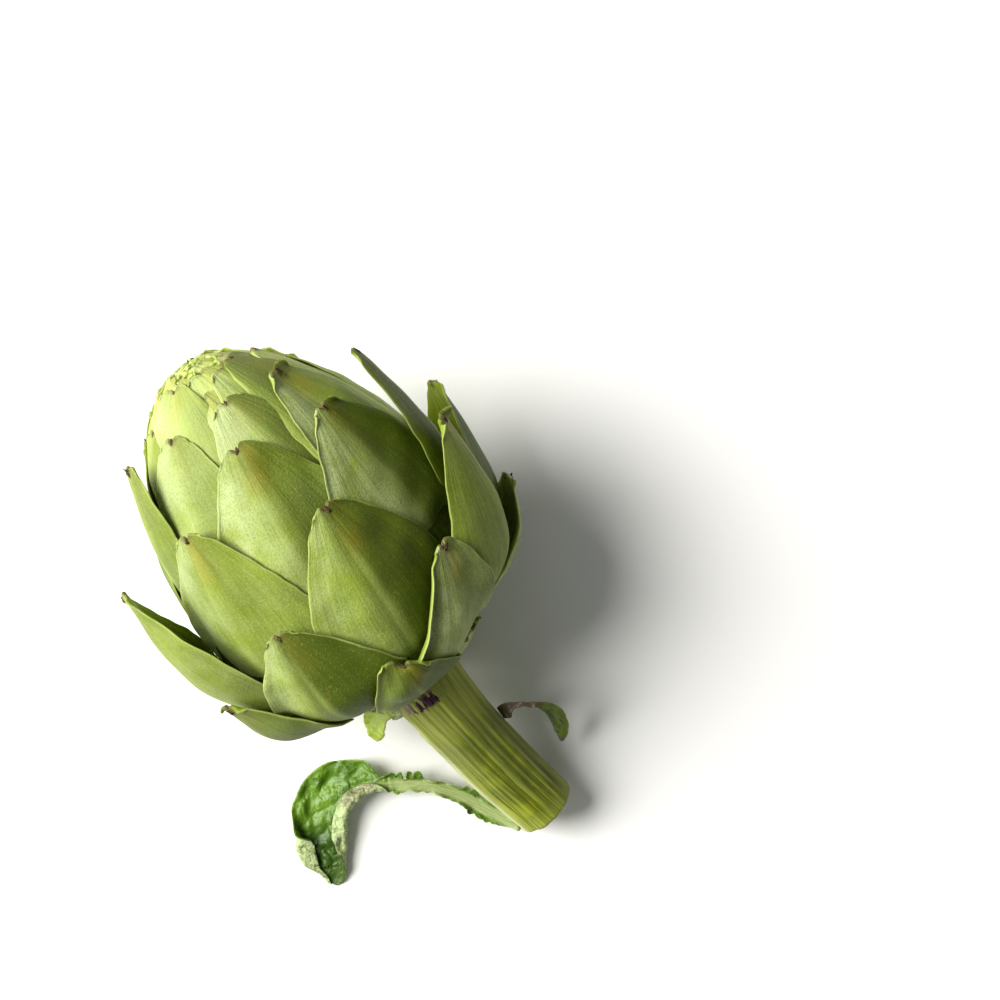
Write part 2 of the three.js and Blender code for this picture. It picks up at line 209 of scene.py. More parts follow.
def section(angle):
    """Radius, height and outward direction of the envelope at an angle from base (0) to top (pi)."""
    low = angle < np.pi / 2
    half = np.where(low, LOWER_HEIGHT, UPPER_HEIGHT)
    pinch = np.where(low, 0, SHOULDER_PINCH)
    radius = BUD_RADIUS * np.sin(angle) * (1 - pinch * np.cos(angle) ** 2)
    height = WIDEST_AT - half * np.cos(angle)
    run = BUD_RADIUS * np.cos(angle) * (1 - pinch * (3 * np.cos(angle) ** 2 - 2))
    rise = half * np.sin(angle)
    size = np.hypot(run, rise)
    return radius, height, rise / size, -run / size


section_radius, section_height, section_out_r, section_out_h = section(section_angle)
steps = np.hypot(np.diff(section_radius), np.diff(section_height))
section_place = np.concatenate([[0], np.cumsum(steps)])


def envelope(place):
    return section(np.interp(place, section_place, section_angle))


def place_of_height(height):
    return np.interp(height, section_height, section_place)


print("base to top along the envelope:", round(section_place[-1], 1), "mm")

# %% [markdown]
# ## How the bracts are set
#
# Each new bract grows 137.5 degrees round from the last, the golden angle, which is what makes the
# spirals of a bud, a pine cone or a sunflower. Bract 0 is an arbitrary one low on the bud: lower
# numbers are older and nearer the stem, higher ones are younger and nearer the top. Size and place
# follow the number in short lists of [number, value], and a few bracts grew their own way: splayed,
# turned a little, or longer or slimmer than the rest. Those are listed one by one.

# %% The spiral and its exceptions
GOLDEN_ANGLE = 137.5
FIRST_AZIMUTH = -38
FIRST_BRACT = -10
LAST_BRACT = 49

TIP_HEIGHT = [[-10, 15], [-6, 26], [-3, 36], [0, 50], [3, 61], [8, 82], [11, 92], [13, 98], [16, 106],
              [21, 112], [24, 115], [29, 119], [34, 122], [42, 124.2], [49, 125.9]]
LENGTH = [[-10, 24], [-3, 40], [0, 48], [8, 58], [16, 56], [24, 48], [34, 38], [60, 20]]
HALF_WIDTH = [[-10, 13], [-5, 17], [0, 21], [3, 23], [8, 24], [16, 21], [24, 18], [34, 15], [42, 13],
              [49, 10]]
LOOSENESS = [[-10, 1], [0, 2], [16, 2], [24, 1], [30, 0.3], [60, 0]]

# turn: degrees; tip: mm along the axis; open: mm that the tip stands off; flare: how late it bends off;
# lean: sideways slope of the root; half, tip_half: half widths; slant: how askew its end is;
# roll: degrees that it is turned about its own midline; taper: how late it narrows; sink: how fast it
# sinks towards its root; cup: how much more it bends across than the bud does; free: how many mm it
# may stand off before older ones no longer rest on it.
SPLAY_FREE = 6
SHINGLE_SLOPE = 0.15
CUP = 0.016
DEEP_CUP = 0.027
GROWN = {
    -10: dict(turn=-11, tip=15.5, open=-4, half=11),
    -8: dict(turn=14, tip=17, open=-4, half=12),
    -7: dict(turn=-18, tip=17.5, open=-5.5, half=11),
    -5: dict(turn=3, tip=36.5, half=14, tip_half=5, slant=3, taper=1.9),
    -3: dict(turn=-10, tip=39, open=9),
    -2: dict(turn=7.5, tip=47.5, open=7.8, half=15, flare=1.4, length=35),
    0: dict(tip=53, lean=0.34, half=18.5, taper=1.2),
    1: dict(tip=48, open=4),
    2: dict(tip=52, open=0.5),
    3: dict(turn=11),
    5: dict(turn=1.5, tip=73, open=12, lean=0.1),
    6: dict(turn=3.8, tip=82.5, open=15.2, flare=1, roll=11, half=22),
    8: dict(turn=3, lean=0.06, tip_half=4.6),
    10: dict(turn=-2.5, tip=71, open=14),
    11: dict(turn=7.5, tip=93, tip_half=5, half=25, lean=0.05, open=3.5, cup=0.008),
    13: dict(turn=3, tip=99, tip_half=4.6, half=25, open=4, cup=0.006),
    14: dict(turn=12, open=-6, half=13),
    16: dict(turn=-2.5, tip=106, lean=0.1, half=22.5, tip_half=5.5),
    18: dict(turn=11, tip=98.5, open=14, flare=0.8, length=62, half=12, lean=-0.15, roll=-14, free=1),
    19: dict(turn=15.5, tip=110, open=7.5, flare=1.3, half=13, lean=0.16, roll=4),
    21: dict(turn=-27, tip=112, half=16.5),
    22: dict(open=-1.5),
    23: dict(length=74, half=22, sink=0.08),
    24: dict(turn=18, lean=0.04, half=17.5, tip_half=4.5),
    26: dict(tip=121.5, open=-1.5, length=70, half=19, sink=0.09),
    27: dict(open=-2.5),
    29: dict(turn=-4, tip=116, lean=-0.05),
    31: dict(turn=8, tip=117.5, open=2, length=74, half=20, sink=0.085),
    32: dict(turn=-7, tip=124),
    35: dict(open=-2.5),
    37: dict(turn=-11, tip=120),
    40: dict(turn=18, tip=123.5),
}


def listed(values, number):
    return float(np.interp(number, [at for at, _ in values], [value for _, value in values]))


def bract_facts(number):
    """Everything that says where bract `number` is and how large."""
    grown = GROWN.get(number, {})
    splayed = grown.get("open", 0) > 5
    tip_place = float(place_of_height(grown.get("tip", listed(TIP_HEIGHT, number))))
    half = grown.get("half", listed(HALF_WIDTH, number))
    return dict(
        number=number,
        azimuth=math.radians(FIRST_AZIMUTH + GOLDEN_ANGLE * number + grown.get("turn", 0)),
        tip_place=tip_place,
        length=min(grown.get("length", listed(LENGTH, number)), tip_place - 5),
        half=half,
        tip_half=grown.get("tip_half", min(4.2, listed(HALF_WIDTH, number) * 0.36)),
        open=grown.get("open", listed(LOOSENESS, number)),
        flare=grown.get("flare", 1.2 if splayed else 2),
        lean=grown.get("lean", 0),
        slant=grown.get("slant", 0),
        roll=grown.get("roll", 0),
        taper=grown.get("taper", 1.6),
        free=grown.get("free", SPLAY_FREE),
        sink=grown.get("sink", SHINGLE_SLOPE),
        cup=grown.get("cup", DEEP_CUP if splayed else CUP),
        splayed=splayed,
    )


numbers = range(FIRST_BRACT, LAST_BRACT + 1)
print(len(numbers), "bracts")

# %% [markdown]
# ## One bract
#
# A bract is a thick, shallow spoon: widest two fifths of the way up, curved across more tightly than
# the bud, with a faint keel down its back, and blunt at its tip, where two rounded shoulders stand
# beside a notch. Its surface is a grid of points, which a formula puts in place: `u` runs from root
# to tip and `v` from one margin to the other. A grid is chosen over sculpting because sixty bracts
# come from one function, and no two are alike once each gets its own seeded unevenness.

# %% A smooth random unevenness
def smooth_step(x):
    x = np.clip(x, 0, 1)
    return x * x * (3 - 2 * x)


def ripples(x, y, size, seed, waves=9):
    """A smooth random height from -1 to 1, like gentle swells of about `size`, the same each run."""
    draw = np.random.default_rng(seed)
    total = np.zeros(np.broadcast(x, y).shape)
    for _ in range(waves):
        heading = draw.uniform(0, 2 * np.pi)
        pitch = 2 * np.pi / size * draw.uniform(0.6, 1.5)
        total += np.sin(pitch * (x * np.cos(heading) + y * np.sin(heading)) + draw.uniform(0, 2 * np.pi))
    return total / waves ** 0.5 / 1.6


# %% The bract's surface
ROWS = 46
COLUMNS = 34
CUP_LIFT = 0.7
WIDEST = 0.42
KEEL = 3.2  # mm that the ridge down its back stands up
FURROW = 0.35  # mm deep, in the keel near the tip
END_STARTS = 0.93  # share of the length where the shoulders and the notch begin
SHOULDER = 1.6  # mm that the margins end before the middle
NOTCH_DEPTH = 1.7
NOTCH_WIDTH = 0.2  # as a share of the half width
MARGIN_WAVE = 0.3
SWELL = 0.35


def bract_surface(facts):
    """The outer face in the upright bud: points, how far each stands off, and its u, v and half width."""
    seed = 1000 + facts["number"]
    u = (np.linspace(0, 1, ROWS + 1) ** 0.9)[:, None]
    v = np.sin(np.linspace(-1, 1, COLUMNS + 1) * 1.25)[None, :] / math.sin(1.25)
    narrowing = np.clip((u - WIDEST) / (1 - WIDEST), 0, 1) ** facts["taper"]
    rooting = 0.3 * np.clip((WIDEST - u) / WIDEST, 0, 1) ** 2
    half = facts["tip_half"] + (facts["half"] - facts["tip_half"]) * (1 - narrowing - rooting)
    margin_wave = MARGIN_WAVE * ripples(u * facts["length"], np.sign(v) * 40, 7, seed)
    across = half * v + margin_wave * np.abs(v) ** 3

    shoulders = SHOULDER * np.abs(v) ** 3 + NOTCH_DEPTH * np.exp(-((v / NOTCH_WIDTH) ** 2))
    ending = smooth_step((u - END_STARTS) / 0.07) * shoulders
    place = facts["tip_place"] - facts["length"] * (1 - u) - ending + facts["slant"] * v * u
    radius, height, out_r, out_h = envelope(place)

    shell = np.maximum(np.abs(out_r), 0.35) / np.maximum(radius, 6)
    curvature = np.minimum(shell + facts["cup"], 1.35 / half)
    cup = np.maximum(curvature - shell, 0)
    roll = np.radians(facts["roll"]) * smooth_step(u * 1.3)
    angle = across * curvature + roll
    side = (np.sin(angle) - np.sin(roll)) / curvature + facts["lean"] * facts["length"] * (1 - u)
    drop = (np.cos(roll) - np.cos(angle)) / curvature
    lift = CUP_LIFT * half ** 2 / 2 * cup
    sunk = facts["sink"] * facts["length"] * (1 - u)
    stands_off = facts["open"] * np.maximum((u - 0.1) / 0.9, 0) ** facts["flare"]
    keel = KEEL * (half / 24) * (0.35 - np.sqrt(v ** 2 + 0.002)) * smooth_step(u * 2.5)
    furrow = -FURROW * np.exp(-((across / 1.1) ** 2)) * smooth_step((u - 0.75) / 0.2)
    swell = SWELL * ripples(across, u * facts["length"], 16, seed + 500) * smooth_step(2 * u)
    out = lift - drop - sunk + stands_off + keel + furrow + swell

    reach = radius + out_r * out
    azimuth = facts["azimuth"]
    points = np.stack([
        reach * math.cos(azimuth) - side * math.sin(azimuth),
        reach * math.sin(azimuth) + side * math.cos(azimuth),
        height + out_h * out,
    ], -1)
    grid = np.broadcast_to
    shape = points.shape[:2]
    return points, grid(stands_off, shape), grid(u, shape), grid(v, shape), grid(half, shape)


sample, *_ = bract_surface(bract_facts(8))
print("bract 8 spans", np.round(np.ptp(sample.reshape(-1, 3), axis=0), 1), "mm")

# %% [markdown]
# ## Drape each bract over the younger ones
#
# On the bud, an older bract lies over the younger ones and takes their bulges. The formula alone would
# let a full young bract poke through the thin margin of an older one. So the bracts are laid one by
# one, youngest first, like tiles: a map of the bud, by azimuth and by place from base to top, keeps
# how far out the layers reach so far, and each new bract is raised where it would be lower than that.

# %% Lay the bracts like tiles
AZIMUTH_CELLS = 200
PLACE_CELLS = 110
LAYER_GAP = [[-9, 0.8], [16, 0.6], [26, 0.3], [56, 0.15]]  # [bract number, mm between two layers]
MOST_RAISED = [[-9, 7], [20, 5], [28, 2.2], [56, 1.2]]  # [bract number, mm]
EVENING_ROUNDS = 8
RAISED_SHARE = 0.8
layer_map = np.full((AZIMUTH_CELLS, PLACE_CELLS), -60.0)
coarse = slice(None, None, 4)


def on_envelope(points):
    """Azimuth cell and place cell of each point, how far out it is there, and that spot's directions."""
    reach = np.hypot(points[..., 0], points[..., 1])
    gap = ((reach[..., None] - section_radius[coarse]) ** 2
           + (points[..., 2][..., None] - section_height[coarse]) ** 2)
    nearest = gap.argmin(-1) * 4
    out = ((reach - section_radius[nearest]) * section_out_r[nearest]
           + (points[..., 2] - section_height[nearest]) * section_out_h[nearest])
    azimuth = np.arctan2(points[..., 1], points[..., 0]) / (2 * np.pi) * AZIMUTH_CELLS
    place = section_place[nearest] / section_place[-1] * (PLACE_CELLS - 1)
    outward = np.stack([
        section_out_r[nearest] * points[..., 0] / np.maximum(reach, 1e-6),
        section_out_r[nearest] * points[..., 1] / np.maximum(reach, 1e-6),
        section_out_h[nearest],
    ], -1)
    cell = (np.round(azimuth).astype(int) % AZIMUTH_CELLS, np.round(place).astype(int))
    return cell, out, outward


def widened(values):
    """Each cell takes the highest value of itself and its eight neighbours."""
    best = values
    for axis in (0, 1):
        best = np.maximum(best, np.maximum(np.roll(best, 1, axis), np.roll(best, -1, axis)))
    return best


def evened(values, times):
    for _ in range(times):
        padded = np.pad(values, 1, mode="edge")
        values = (padded[:-2, 1:-1] + padded[2:, 1:-1] + padded[1:-1, :-2] + padded[1:-1, 2:]
                  + 4 * padded[1:-1, 1:-1]) / 8
    return values


def drape(points, stands_off, facts):
    """Raise a bract's points over the layers below it, and add it to the map."""
    cell, out, outward = on_envelope(points)
    below = widened(layer_map)[cell]
    gap = listed(LAYER_GAP, facts["number"])
    needed = np.clip(below + gap - out, 0, listed(MOST_RAISED, facts["number"]))
    raised = np.maximum(evened(widened(needed), EVENING_ROUNDS), RAISED_SHARE * needed)
    points = points + outward * raised[..., None]
    cell, out, _ = on_envelope(points)
    lying = stands_off < facts["free"]
    np.maximum.at(layer_map, (cell[0][lying], cell[1][lying]), out[lying])
    return points, float(raised.max())


bracts = {}
most_raised = 0
for number in reversed(numbers):
    facts = bract_facts(number)
    points, stands_off, u, v, half = bract_surface(facts)
    points, raised = drape(points, stands_off, facts)
    bracts[number] = (facts, points, u, v, half)
    most_raised = max(most_raised, raised)
print("the most that a bract was raised:", round(most_raised, 1), "mm")

# %% [markdown]
# ## From a surface to a blade
#
# A bract is fleshy at its middle and thin at its margins, and the margin is rounded. The inner face is
# the outer one moved inwards by the thickness, and a rim loop pushed out a little between them rounds
# the edge. Each point also carries what the material needs to know: where it is on the bract, how far
# from the margin, and whether it is on the inner face. Blender calls such values attributes.

# %% Mesh helpers
def grid_faces(rows, columns, first, flip):
    """Quads of a grid of points that starts at index `first`."""
    index = first + np.arange(rows * columns).reshape(rows, columns)
    quads = np.stack([index[:-1, :-1], index[:-1, 1:], index[1:, 1:], index[1:, :-1]], -1).reshape(-1, 4)
    return quads[:, ::-1] if flip else quads


def border_of(rows, columns):
    """Indices round the border of a grid."""
    index = np.arange(rows * columns).reshape(rows, columns)
    return np.concatenate([index[0, :-1], index[:-1, -1], index[-1, :0:-1], index[:0:-1, 0]])


def surface_normals(points):
    across = np.gradient(points, axis=1)
    along = np.gradient(points, axis=0)
    normals = np.cross(across, along)
    return normals / np.maximum(np.linalg.norm(normals, axis=-1, keepdims=True), 1e-9)


def piece_from(name, points, faces, attributes, material, sharp=60):
    """A named object at the origin, in metres, with its attributes and its material."""
    mesh = bpy.data.meshes.new(name)
    mesh.from_pydata((points * MM).tolist(), [], faces)
    for title, values in attributes.items():
        attribute = mesh.attributes.new(title, "FLOAT_VECTOR", "POINT")
        attribute.data.foreach_set("vector", np.ascontiguousarray(values, np.float32).ravel())
    mesh.shade_smooth()
    mesh.set_sharp_from_angle(angle=math.radians(sharp))
    mesh.materials.append(material)
    piece = bpy.data.objects.new(name, mesh)
    bpy.context.scene.collection.objects.link(piece)
    return piece


def blade(name, outer, thickness, attributes, material, place_points, flip=False):
    """A closed blade: outer face, inner face and a rounded rim. Attributes are grids like `outer`."""
    rows, columns = outer.shape[:2]
    normals = surface_normals(outer)
    inner = outer - normals * thickness[..., None]
    border = border_of(rows, columns)
    flat_outer = outer.reshape(-1, 3)
    flat_inner = inner.reshape(-1, 3)
    inset_row = np.clip(np.arange(rows), 1, rows - 2)[:, None]
    inset_column = np.clip(np.arange(columns), 1, columns - 2)[None, :]
    inset = (inset_row * columns + inset_column).ravel()
    away = flat_outer[border] - flat_outer[inset[border]]
    away /= np.maximum(np.linalg.norm(away, axis=-1, keepdims=True), 1e-9)
    bulge = thickness.ravel()[border][:, None] * 0.4
    rim = (flat_outer[border] + flat_inner[border]) / 2 + away * bulge
    points = np.concatenate([flat_outer, flat_inner, rim])
    count = rows * columns
    loop = np.arange(len(border))
    following = np.roll(loop, -1)
    rim_index = 2 * count + loop
    walls = [
        np.stack([border, rim_index, rim_index[following], border[following]], -1),
        np.stack([rim_index, border + count, border[following] + count, rim_index[following]], -1),
    ]
    faces = np.concatenate([grid_faces(rows, columns, 0, flip), grid_faces(rows, columns, count, not flip)]
                           + [wall[:, ::-1] if flip else wall for wall in walls])
    carried = {}
    for title, grid in attributes.items():
        outside = grid.reshape(-1, 3)
        inside = outside.copy()
        if title == "finish":
            inside[:, 2] = 1  # its third value marks the inner face
        carried[title] = np.concatenate([outside, inside, outside[border]])
    return piece_from(name, place_points(points), faces.tolist(), carried, material)

# %% [markdown]
# ## The bract's skin
#
# The back of a bract is matt green with a fine down that greys it, most of all on the old bracts and
# towards their base. Fine veins run from root to tip and meet there. The margin is a thin yellow-green
# line, and below the notch the green warms to a dull orange where the skin dried first. All of this is
# mixed in nodes from the values that each point carries, so that it follows the bract's own shape. No
# picture is needed, and the veins converge by themselves, because they are drawn in `v`.

# %% A small kit for writing materials
class Skin:
    """A material whose nodes are written as short formulas."""

    def __init__(self, name, roughness, specular):
        self.material = bpy.data.materials.new(name)
        self.material.use_nodes = True
        self.tree = self.material.node_tree
        self.shader = self.tree.nodes["Principled BSDF"]
        self.shader.inputs["Roughness"].default_value = roughness
        self.shader.inputs["Specular IOR Level"].default_value = specular

    def feed(self, socket, value):
        if isinstance(value, bpy.types.NodeSocket):
            self.tree.links.new(value, socket)
        else:
            socket.default_value = value

    def work_out(self, operation, a, b=0.0, c=0.0, clamp=False):
        node = self.tree.nodes.new("ShaderNodeMath")
        node.operation = operation
        node.use_clamp = clamp
        for socket, value in zip(node.inputs, (a, b, c)):
            self.feed(socket, value)
        return node.outputs[0]

    def plus(self, a, b, clamp=False):
        return self.work_out("ADD", a, b, clamp=clamp)

    def minus(self, a, b):
        return self.work_out("SUBTRACT", a, b)

    def times(self, a, b, clamp=False):
        return self.work_out("MULTIPLY", a, b, clamp=clamp)

    def times_plus(self, a, b, c):
        return self.work_out("MULTIPLY_ADD", a, b, c)

    def between(self, value, low, high):
        """0 below low, 1 above high, and a smooth step between; low may be the higher one."""
        node = self.tree.nodes.new("ShaderNodeMapRange")
        node.interpolation_type = "SMOOTHSTEP"
        for title, number in (("Value", value), ("From Min", low), ("From Max", high)):
            self.feed(node.inputs[title], number)
        return node.outputs["Result"]

    def mix(self, factor, a, b):
        node = self.tree.nodes.new("ShaderNodeMix")
        node.data_type = "RGBA"
        self.feed(node.inputs["Factor"], factor)
        for title, color in (("A", a), ("B", b)):
            self.feed(node.inputs[title], color if isinstance(color, bpy.types.NodeSocket) else (*color, 1))
        return node.outputs["Result"]

    def carried(self, title):
        """The three values of an attribute."""
        attribute = self.tree.nodes.new("ShaderNodeAttribute")
        attribute.attribute_name = title
        parts = self.tree.nodes.new("ShaderNodeSeparateXYZ")
        self.tree.links.new(attribute.outputs["Vector"], parts.inputs[0])
        return parts.outputs["X"], parts.outputs["Y"], parts.outputs["Z"]

    def place(self, x, y, z):
        node = self.tree.nodes.new("ShaderNodeCombineXYZ")
        for socket, value in zip(node.inputs, (x, y, z)):
            self.feed(socket, value)
        return node.outputs[0]

    def object_place(self):
        return self.tree.nodes.new("ShaderNodeTexCoord").outputs["Object"]

    def noise(self, place, size, detail=2.0, roughness=0.5):
        """Noise whose patches are about `size` across, in the unit of the place."""
        node = self.tree.nodes.new("ShaderNodeTexNoise")
        self.tree.links.new(place, node.inputs["Vector"])
        node.inputs["Scale"].default_value = 1 / size
        node.inputs["Detail"].default_value = detail
        node.inputs["Roughness"].default_value = roughness
        return node.outputs["Fac"]

    def bump(self, height, distance, below=None):
        node = self.tree.nodes.new("ShaderNodeBump")
        node.inputs["Distance"].default_value = distance * MM
        self.feed(node.inputs["Height"], height)
        if below is not None:
            self.tree.links.new(below, node.inputs["Normal"])
        return node.outputs["Normal"]

    def finish(self, color, normal):
        self.tree.links.new(color, self.shader.inputs["Base Color"])
        self.tree.links.new(normal, self.shader.inputs["Normal"])
        return self.material


# %% Bract skin
LEAF_GREEN = (0.125, 0.182, 0.004)
FRESH_GREEN = (0.25, 0.325, 0.012)
PALE_GREEN = (0.40, 0.465, 0.115)
YOUNG_GREEN = (0.50, 0.60, 0.17)
DOWN_AND_SHEEN_GREY = (0.375, 0.445, 0.19)
DEEP_GREEN = (0.055, 0.085, 0.003)
RIM_GREEN = (0.46, 0.53, 0.14)
BLUSH = (0.34, 0.22, 0.022)
BROWN = (0.07, 0.038, 0.014)
PURPLE = (0.12, 0.058, 0.036)


def bract_skin():
    skin = Skin("bract_skin", roughness=0.55, specular=0.22)
    across, along, seed = skin.carried("fibre")  # v, u and the bract's own number
    rim, bloom, inside = skin.carried("finish")  # mm from the margin, amount of down, inner face
    youth, blush, length = skin.carried("growth")  # 0 old to 1 youngest, warmth under the notch, mm
    # tone: painted shade on one half, painted light on the other, and the place across from their edge
    dark, pale, from_shade_edge = skin.carried("tone")  # how dark one half is and how pale the other
    spot = skin.object_place()

    own = skin.times(seed, 7.31)
    vein_place = skin.place(skin.times(across, 32.0), skin.times(along, 2.4), own)
    veins = skin.noise(vein_place, 1.0, 3.0, 0.6)
    rib_place = skin.place(skin.times(across, 6.0), skin.times(along, 0.9), own)
    ribs = skin.noise(rib_place, 1.0, 1.0)
    patch_place = skin.place(skin.times(across, 1.6), skin.times(along, 2.4), own)
    patches = skin.noise(patch_place, 1.0, 2.0)
    down = skin.noise(spot, 0.6 * MM, 3.0, 0.65)
    felt = skin.noise(spot, 1.6 * MM, 3.0, 0.6)
    cloud = skin.noise(spot, 9 * MM, 2.0)

    # the flesh: patches, ribs and felt between two greens, then the veins
    fresh = skin.plus(skin.times(skin.between(patches, 0.35, 0.68), 0.5),
                      skin.times(skin.between(ribs, 0.3, 0.7), 0.22))
    fresh = skin.plus(fresh, skin.times(skin.between(felt, 0.35, 0.7), 0.28), clamp=True)
    color = skin.mix(fresh, LEAF_GREEN, FRESH_GREEN)
    color = skin.mix(skin.times(skin.between(veins, 0.45, 0.68), 0.24), color, PALE_GREEN)
    color = skin.mix(skin.times(skin.between(veins, 0.46, 0.3), 0.28), color, DEEP_GREEN)

    # painted shade on the half turned from the lamp, the paler young ones, and the pale keel
    painted_shade = skin.times(skin.between(from_shade_edge, 0.1, -0.35), dark)
    color = skin.mix(skin.times(painted_shade, 0.75), color, DEEP_GREEN)
    color = skin.mix(skin.times(youth, skin.times_plus(painted_shade, -0.5, 0.8)), color, YOUNG_GREEN)
    keel = skin.times(skin.between(skin.work_out("ABSOLUTE", skin.minus(across, 0.05)), 0.1, 0.0),
                      skin.between(along, 0.97, 0.5))
    color = skin.mix(skin.times(keel, 0.3), color, PALE_GREEN)

    # the down, and a painted sheen of down on the lit half, in clouds of fine grey specks
    down_and_sheen = skin.times(skin.between(across, -0.2, 0.8), pale)
    down_and_sheen = skin.times_plus(bloom, skin.times_plus(painted_shade, -0.75, 0.9), down_and_sheen)
    greyed = skin.times(down_and_sheen, skin.plus(skin.between(cloud, 0.25, 0.7), 0.35), clamp=True)
    greyed = skin.times(greyed, skin.times_plus(skin.between(down, 0.35, 0.62), 0.5, 0.62))
    color = skin.mix(skin.times(greyed, 1.0, clamp=True), color, DOWN_AND_SHEEN_GREY)
    color = skin.mix(skin.times(skin.between(down, 0.54, 0.68), 0.2), color, PALE_GREEN)
    color = skin.mix(skin.times(skin.between(down, 0.46, 0.34), 0.22), color, LEAF_GREEN)

    # warmth below the notch, the inner face, the margin, the dry tip and a few scars
    warm = skin.times(blush, skin.between(patches, 0.2, 0.75))
    color = skin.mix(skin.times(warm, 0.5), color, BLUSH)
    inner = skin.mix(skin.between(veins, 0.3, 0.7), LEAF_GREEN, FRESH_GREEN)
    color = skin.mix(skin.times(inside, 0.85), color, inner)
    rim_wave = skin.times_plus(cloud, 0.6, -0.1)
    margin = skin.between(skin.minus(rim, rim_wave), 0.35, 0.0)
    color = skin.mix(skin.times(margin, 0.4), color, RIM_GREEN)
    to_tip = skin.times(skin.minus(1.0, along), length)
    tip_skin = skin.between(skin.times_plus(youth, -0.9, to_tip), 1.5, 0.1)
    dried = skin.times(tip_skin, skin.between(skin.work_out("ABSOLUTE", across), 0.75, 0.12))
    dried = skin.times(dried, skin.times_plus(youth, -0.45, 1.0))
    browned = skin.mix(youth, BROWN, PURPLE)
    color = skin.mix(skin.times(dried, skin.between(down, 0.3, 0.6)), color, browned)
    scar = skin.times(skin.between(skin.noise(spot, 2.2 * MM, 2.0), 0.7, 0.76), 0.35)
    color = skin.mix(scar, color, BLUSH)

    normal = skin.bump(veins, 0.12, skin.bump(ribs, 0.4, skin.bump(down, 0.16)))
    return skin.finish(color, normal)


bract_material = bract_skin()
print("bract skin nodes:", len(bract_material.node_tree.nodes))

# %% [markdown]
# ## Make the bracts
#
# Each bract becomes an object of its own and stands for the imported head. The old ones low on the bud
# have the most down. One half of a bract gets painted shade, mostly the half turned from the lamp, and
# the other gets painted light as a pale sheen of down, with a soft edge between them. Four short lists
# give this bract by bract, because no rule would: the down, how strong the painted shade and the painted
# light on the two halves are, and how far the edge between them lies from the midline, as a share of the
# half width.

# %% Bract objects
BLADE_MIDDLE = 1.7
BLADE_MARGIN = 0.45
DOWNY = {-2: 0.4, 19: 0.4, 24: 0.5, 6: 0.35, 11: 0.3, 16: 0.35, 29: 0.6, 37: 0.6, 32: 0.4, 5: 0.1, 8: 0.08,
         10: 0, 18: 0, 13: 0.15, -5: 0.15, 3: 0.3}
# how strong the painted shade and the painted light are, and where the edge between them lies
PAINTED_SHADE_SIDE = {3: 1.25, -5: 1.2, 8: 1, 10: 1.25, 18: 1.2, 5: 0.8, 0: 0.6, -2: 0.8, 16: 0.85, 29: 1.1,
             34: 1, 26: 1.1, 6: 0.15, 11: 0.5, 13: 0.85, 21: 0.3}
PAINTED_LIGHT_SIDE = {10: 0, 18: 0, 5: 0.12, 0: 0.2, -5: 0.05, -2: 0.1, 8: 0.4, 3: 0.4, 13: 0.9, 21: 0.9,
             24: 0.8, 26: 0.1, 29: 0.9, 37: 0.9}
SHADE_EDGE_SHIFT = {8: 0.38, 3: 0.4, 13: 0.15, -5: 0.9, 10: 1.1, 18: 0.9, -2: 1.1, 34: 0.4, 26: 1,
               16: 0.1, 11: 0.1}


def settled(points):
    return press_flat(lie_down(points))


def bract_attributes(facts, u, v, half):
    number = facts["number"]
    chance = np.random.default_rng(2000 + number).uniform(0, 1)
    to_side = half * (1 - np.abs(v))
    to_tip = facts["length"] * (1 - u)
    bloom = DOWNY.get(number, np.clip(0.8 - 0.085 * number, 0.08, 0.85) * (0.75 + 0.5 * chance))
    bloom = np.clip(bloom + 0.25 * (0.5 - u), 0, 1)
    youth = np.full(u.shape, smooth_step((number - 14) / 34))
    middle = np.exp(-((half * v + 1) / 3.2) ** 2)
    blush = middle * smooth_step((u - 0.68) / 0.15) * smooth_step((1.02 - u) / 0.08) * (0.3 + 0.7 * chance)
    seed = np.full(u.shape, number + 20)
    zero = np.zeros(u.shape)
    return {
        "fibre": np.stack([v, u, seed], -1),
        "finish": np.stack([np.minimum(to_side, to_tip + 0.4), bloom, zero], -1),
        "growth": np.stack([youth, blush, zero + facts["length"]], -1),
        # painted shade on one half, painted light on the other, and the place across from the edge between
        # them
        "tone": np.stack([zero + PAINTED_SHADE_SIDE.get(number, 0.55), zero + PAINTED_LIGHT_SIDE.get(number, 0.55),
                          v - SHADE_EDGE_SHIFT.get(number, 0)], -1),
    }


for number in numbers:
    facts, points, u, v, half = bracts[number]
    fleshy = 1 - np.abs(v) ** 2.5
    thickness = BLADE_MARGIN + (BLADE_MIDDLE - BLADE_MARGIN) * fleshy * (1.15 - 0.35 * u)
    thickness = thickness * min(1, facts["half"] / 12)
    piece = blade(f"bract_{number - FIRST_BRACT + 1:02d}", points, np.maximum(thickness, 0.45),
                  bract_attributes(facts, u, v, half), bract_material, settled, flip=True)
    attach(piece, "root")
    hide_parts("head")
print("bract objects:", len(numbers))

# %% [markdown]
# ## Dry tips
#
# In the notch of each bract sits what is left of its spine: a brown stub, dry and broken. They are small
# cones of a few rings, each bent and roughened by its own seeded draw, and joined in one mesh.

# %% Spine stubs
STUB_SIDES = 8
STUB_SHARES = [-0.5, 0.0, 0.35, 0.7, 1.0]
STUB_SIZES = [1.0, 1.1, 0.8, 0.5, 0.2]
STUB_LENGTHS = (1.1, 2.0)  # shortest and longest, mm
STUB_RADII = (0.5, 0.75)
STUB_DARK = (0.022, 0.013, 0.007)
STUB_BROWN = (0.11, 0.075, 0.03)


def stub_skin():
    skin = Skin("stub_skin", roughness=0.8, specular=0.15)
    spot = skin.object_place()
    grain = skin.noise(spot, 0.5 * MM, 3.0)
    color = skin.mix(skin.between(grain, 0.35, 0.65), STUB_DARK, STUB_BROWN)
    return skin.finish(color, skin.bump(grain, 0.2))


def unit(vector):
    return vector / max(np.linalg.norm(vector), 1e-9)


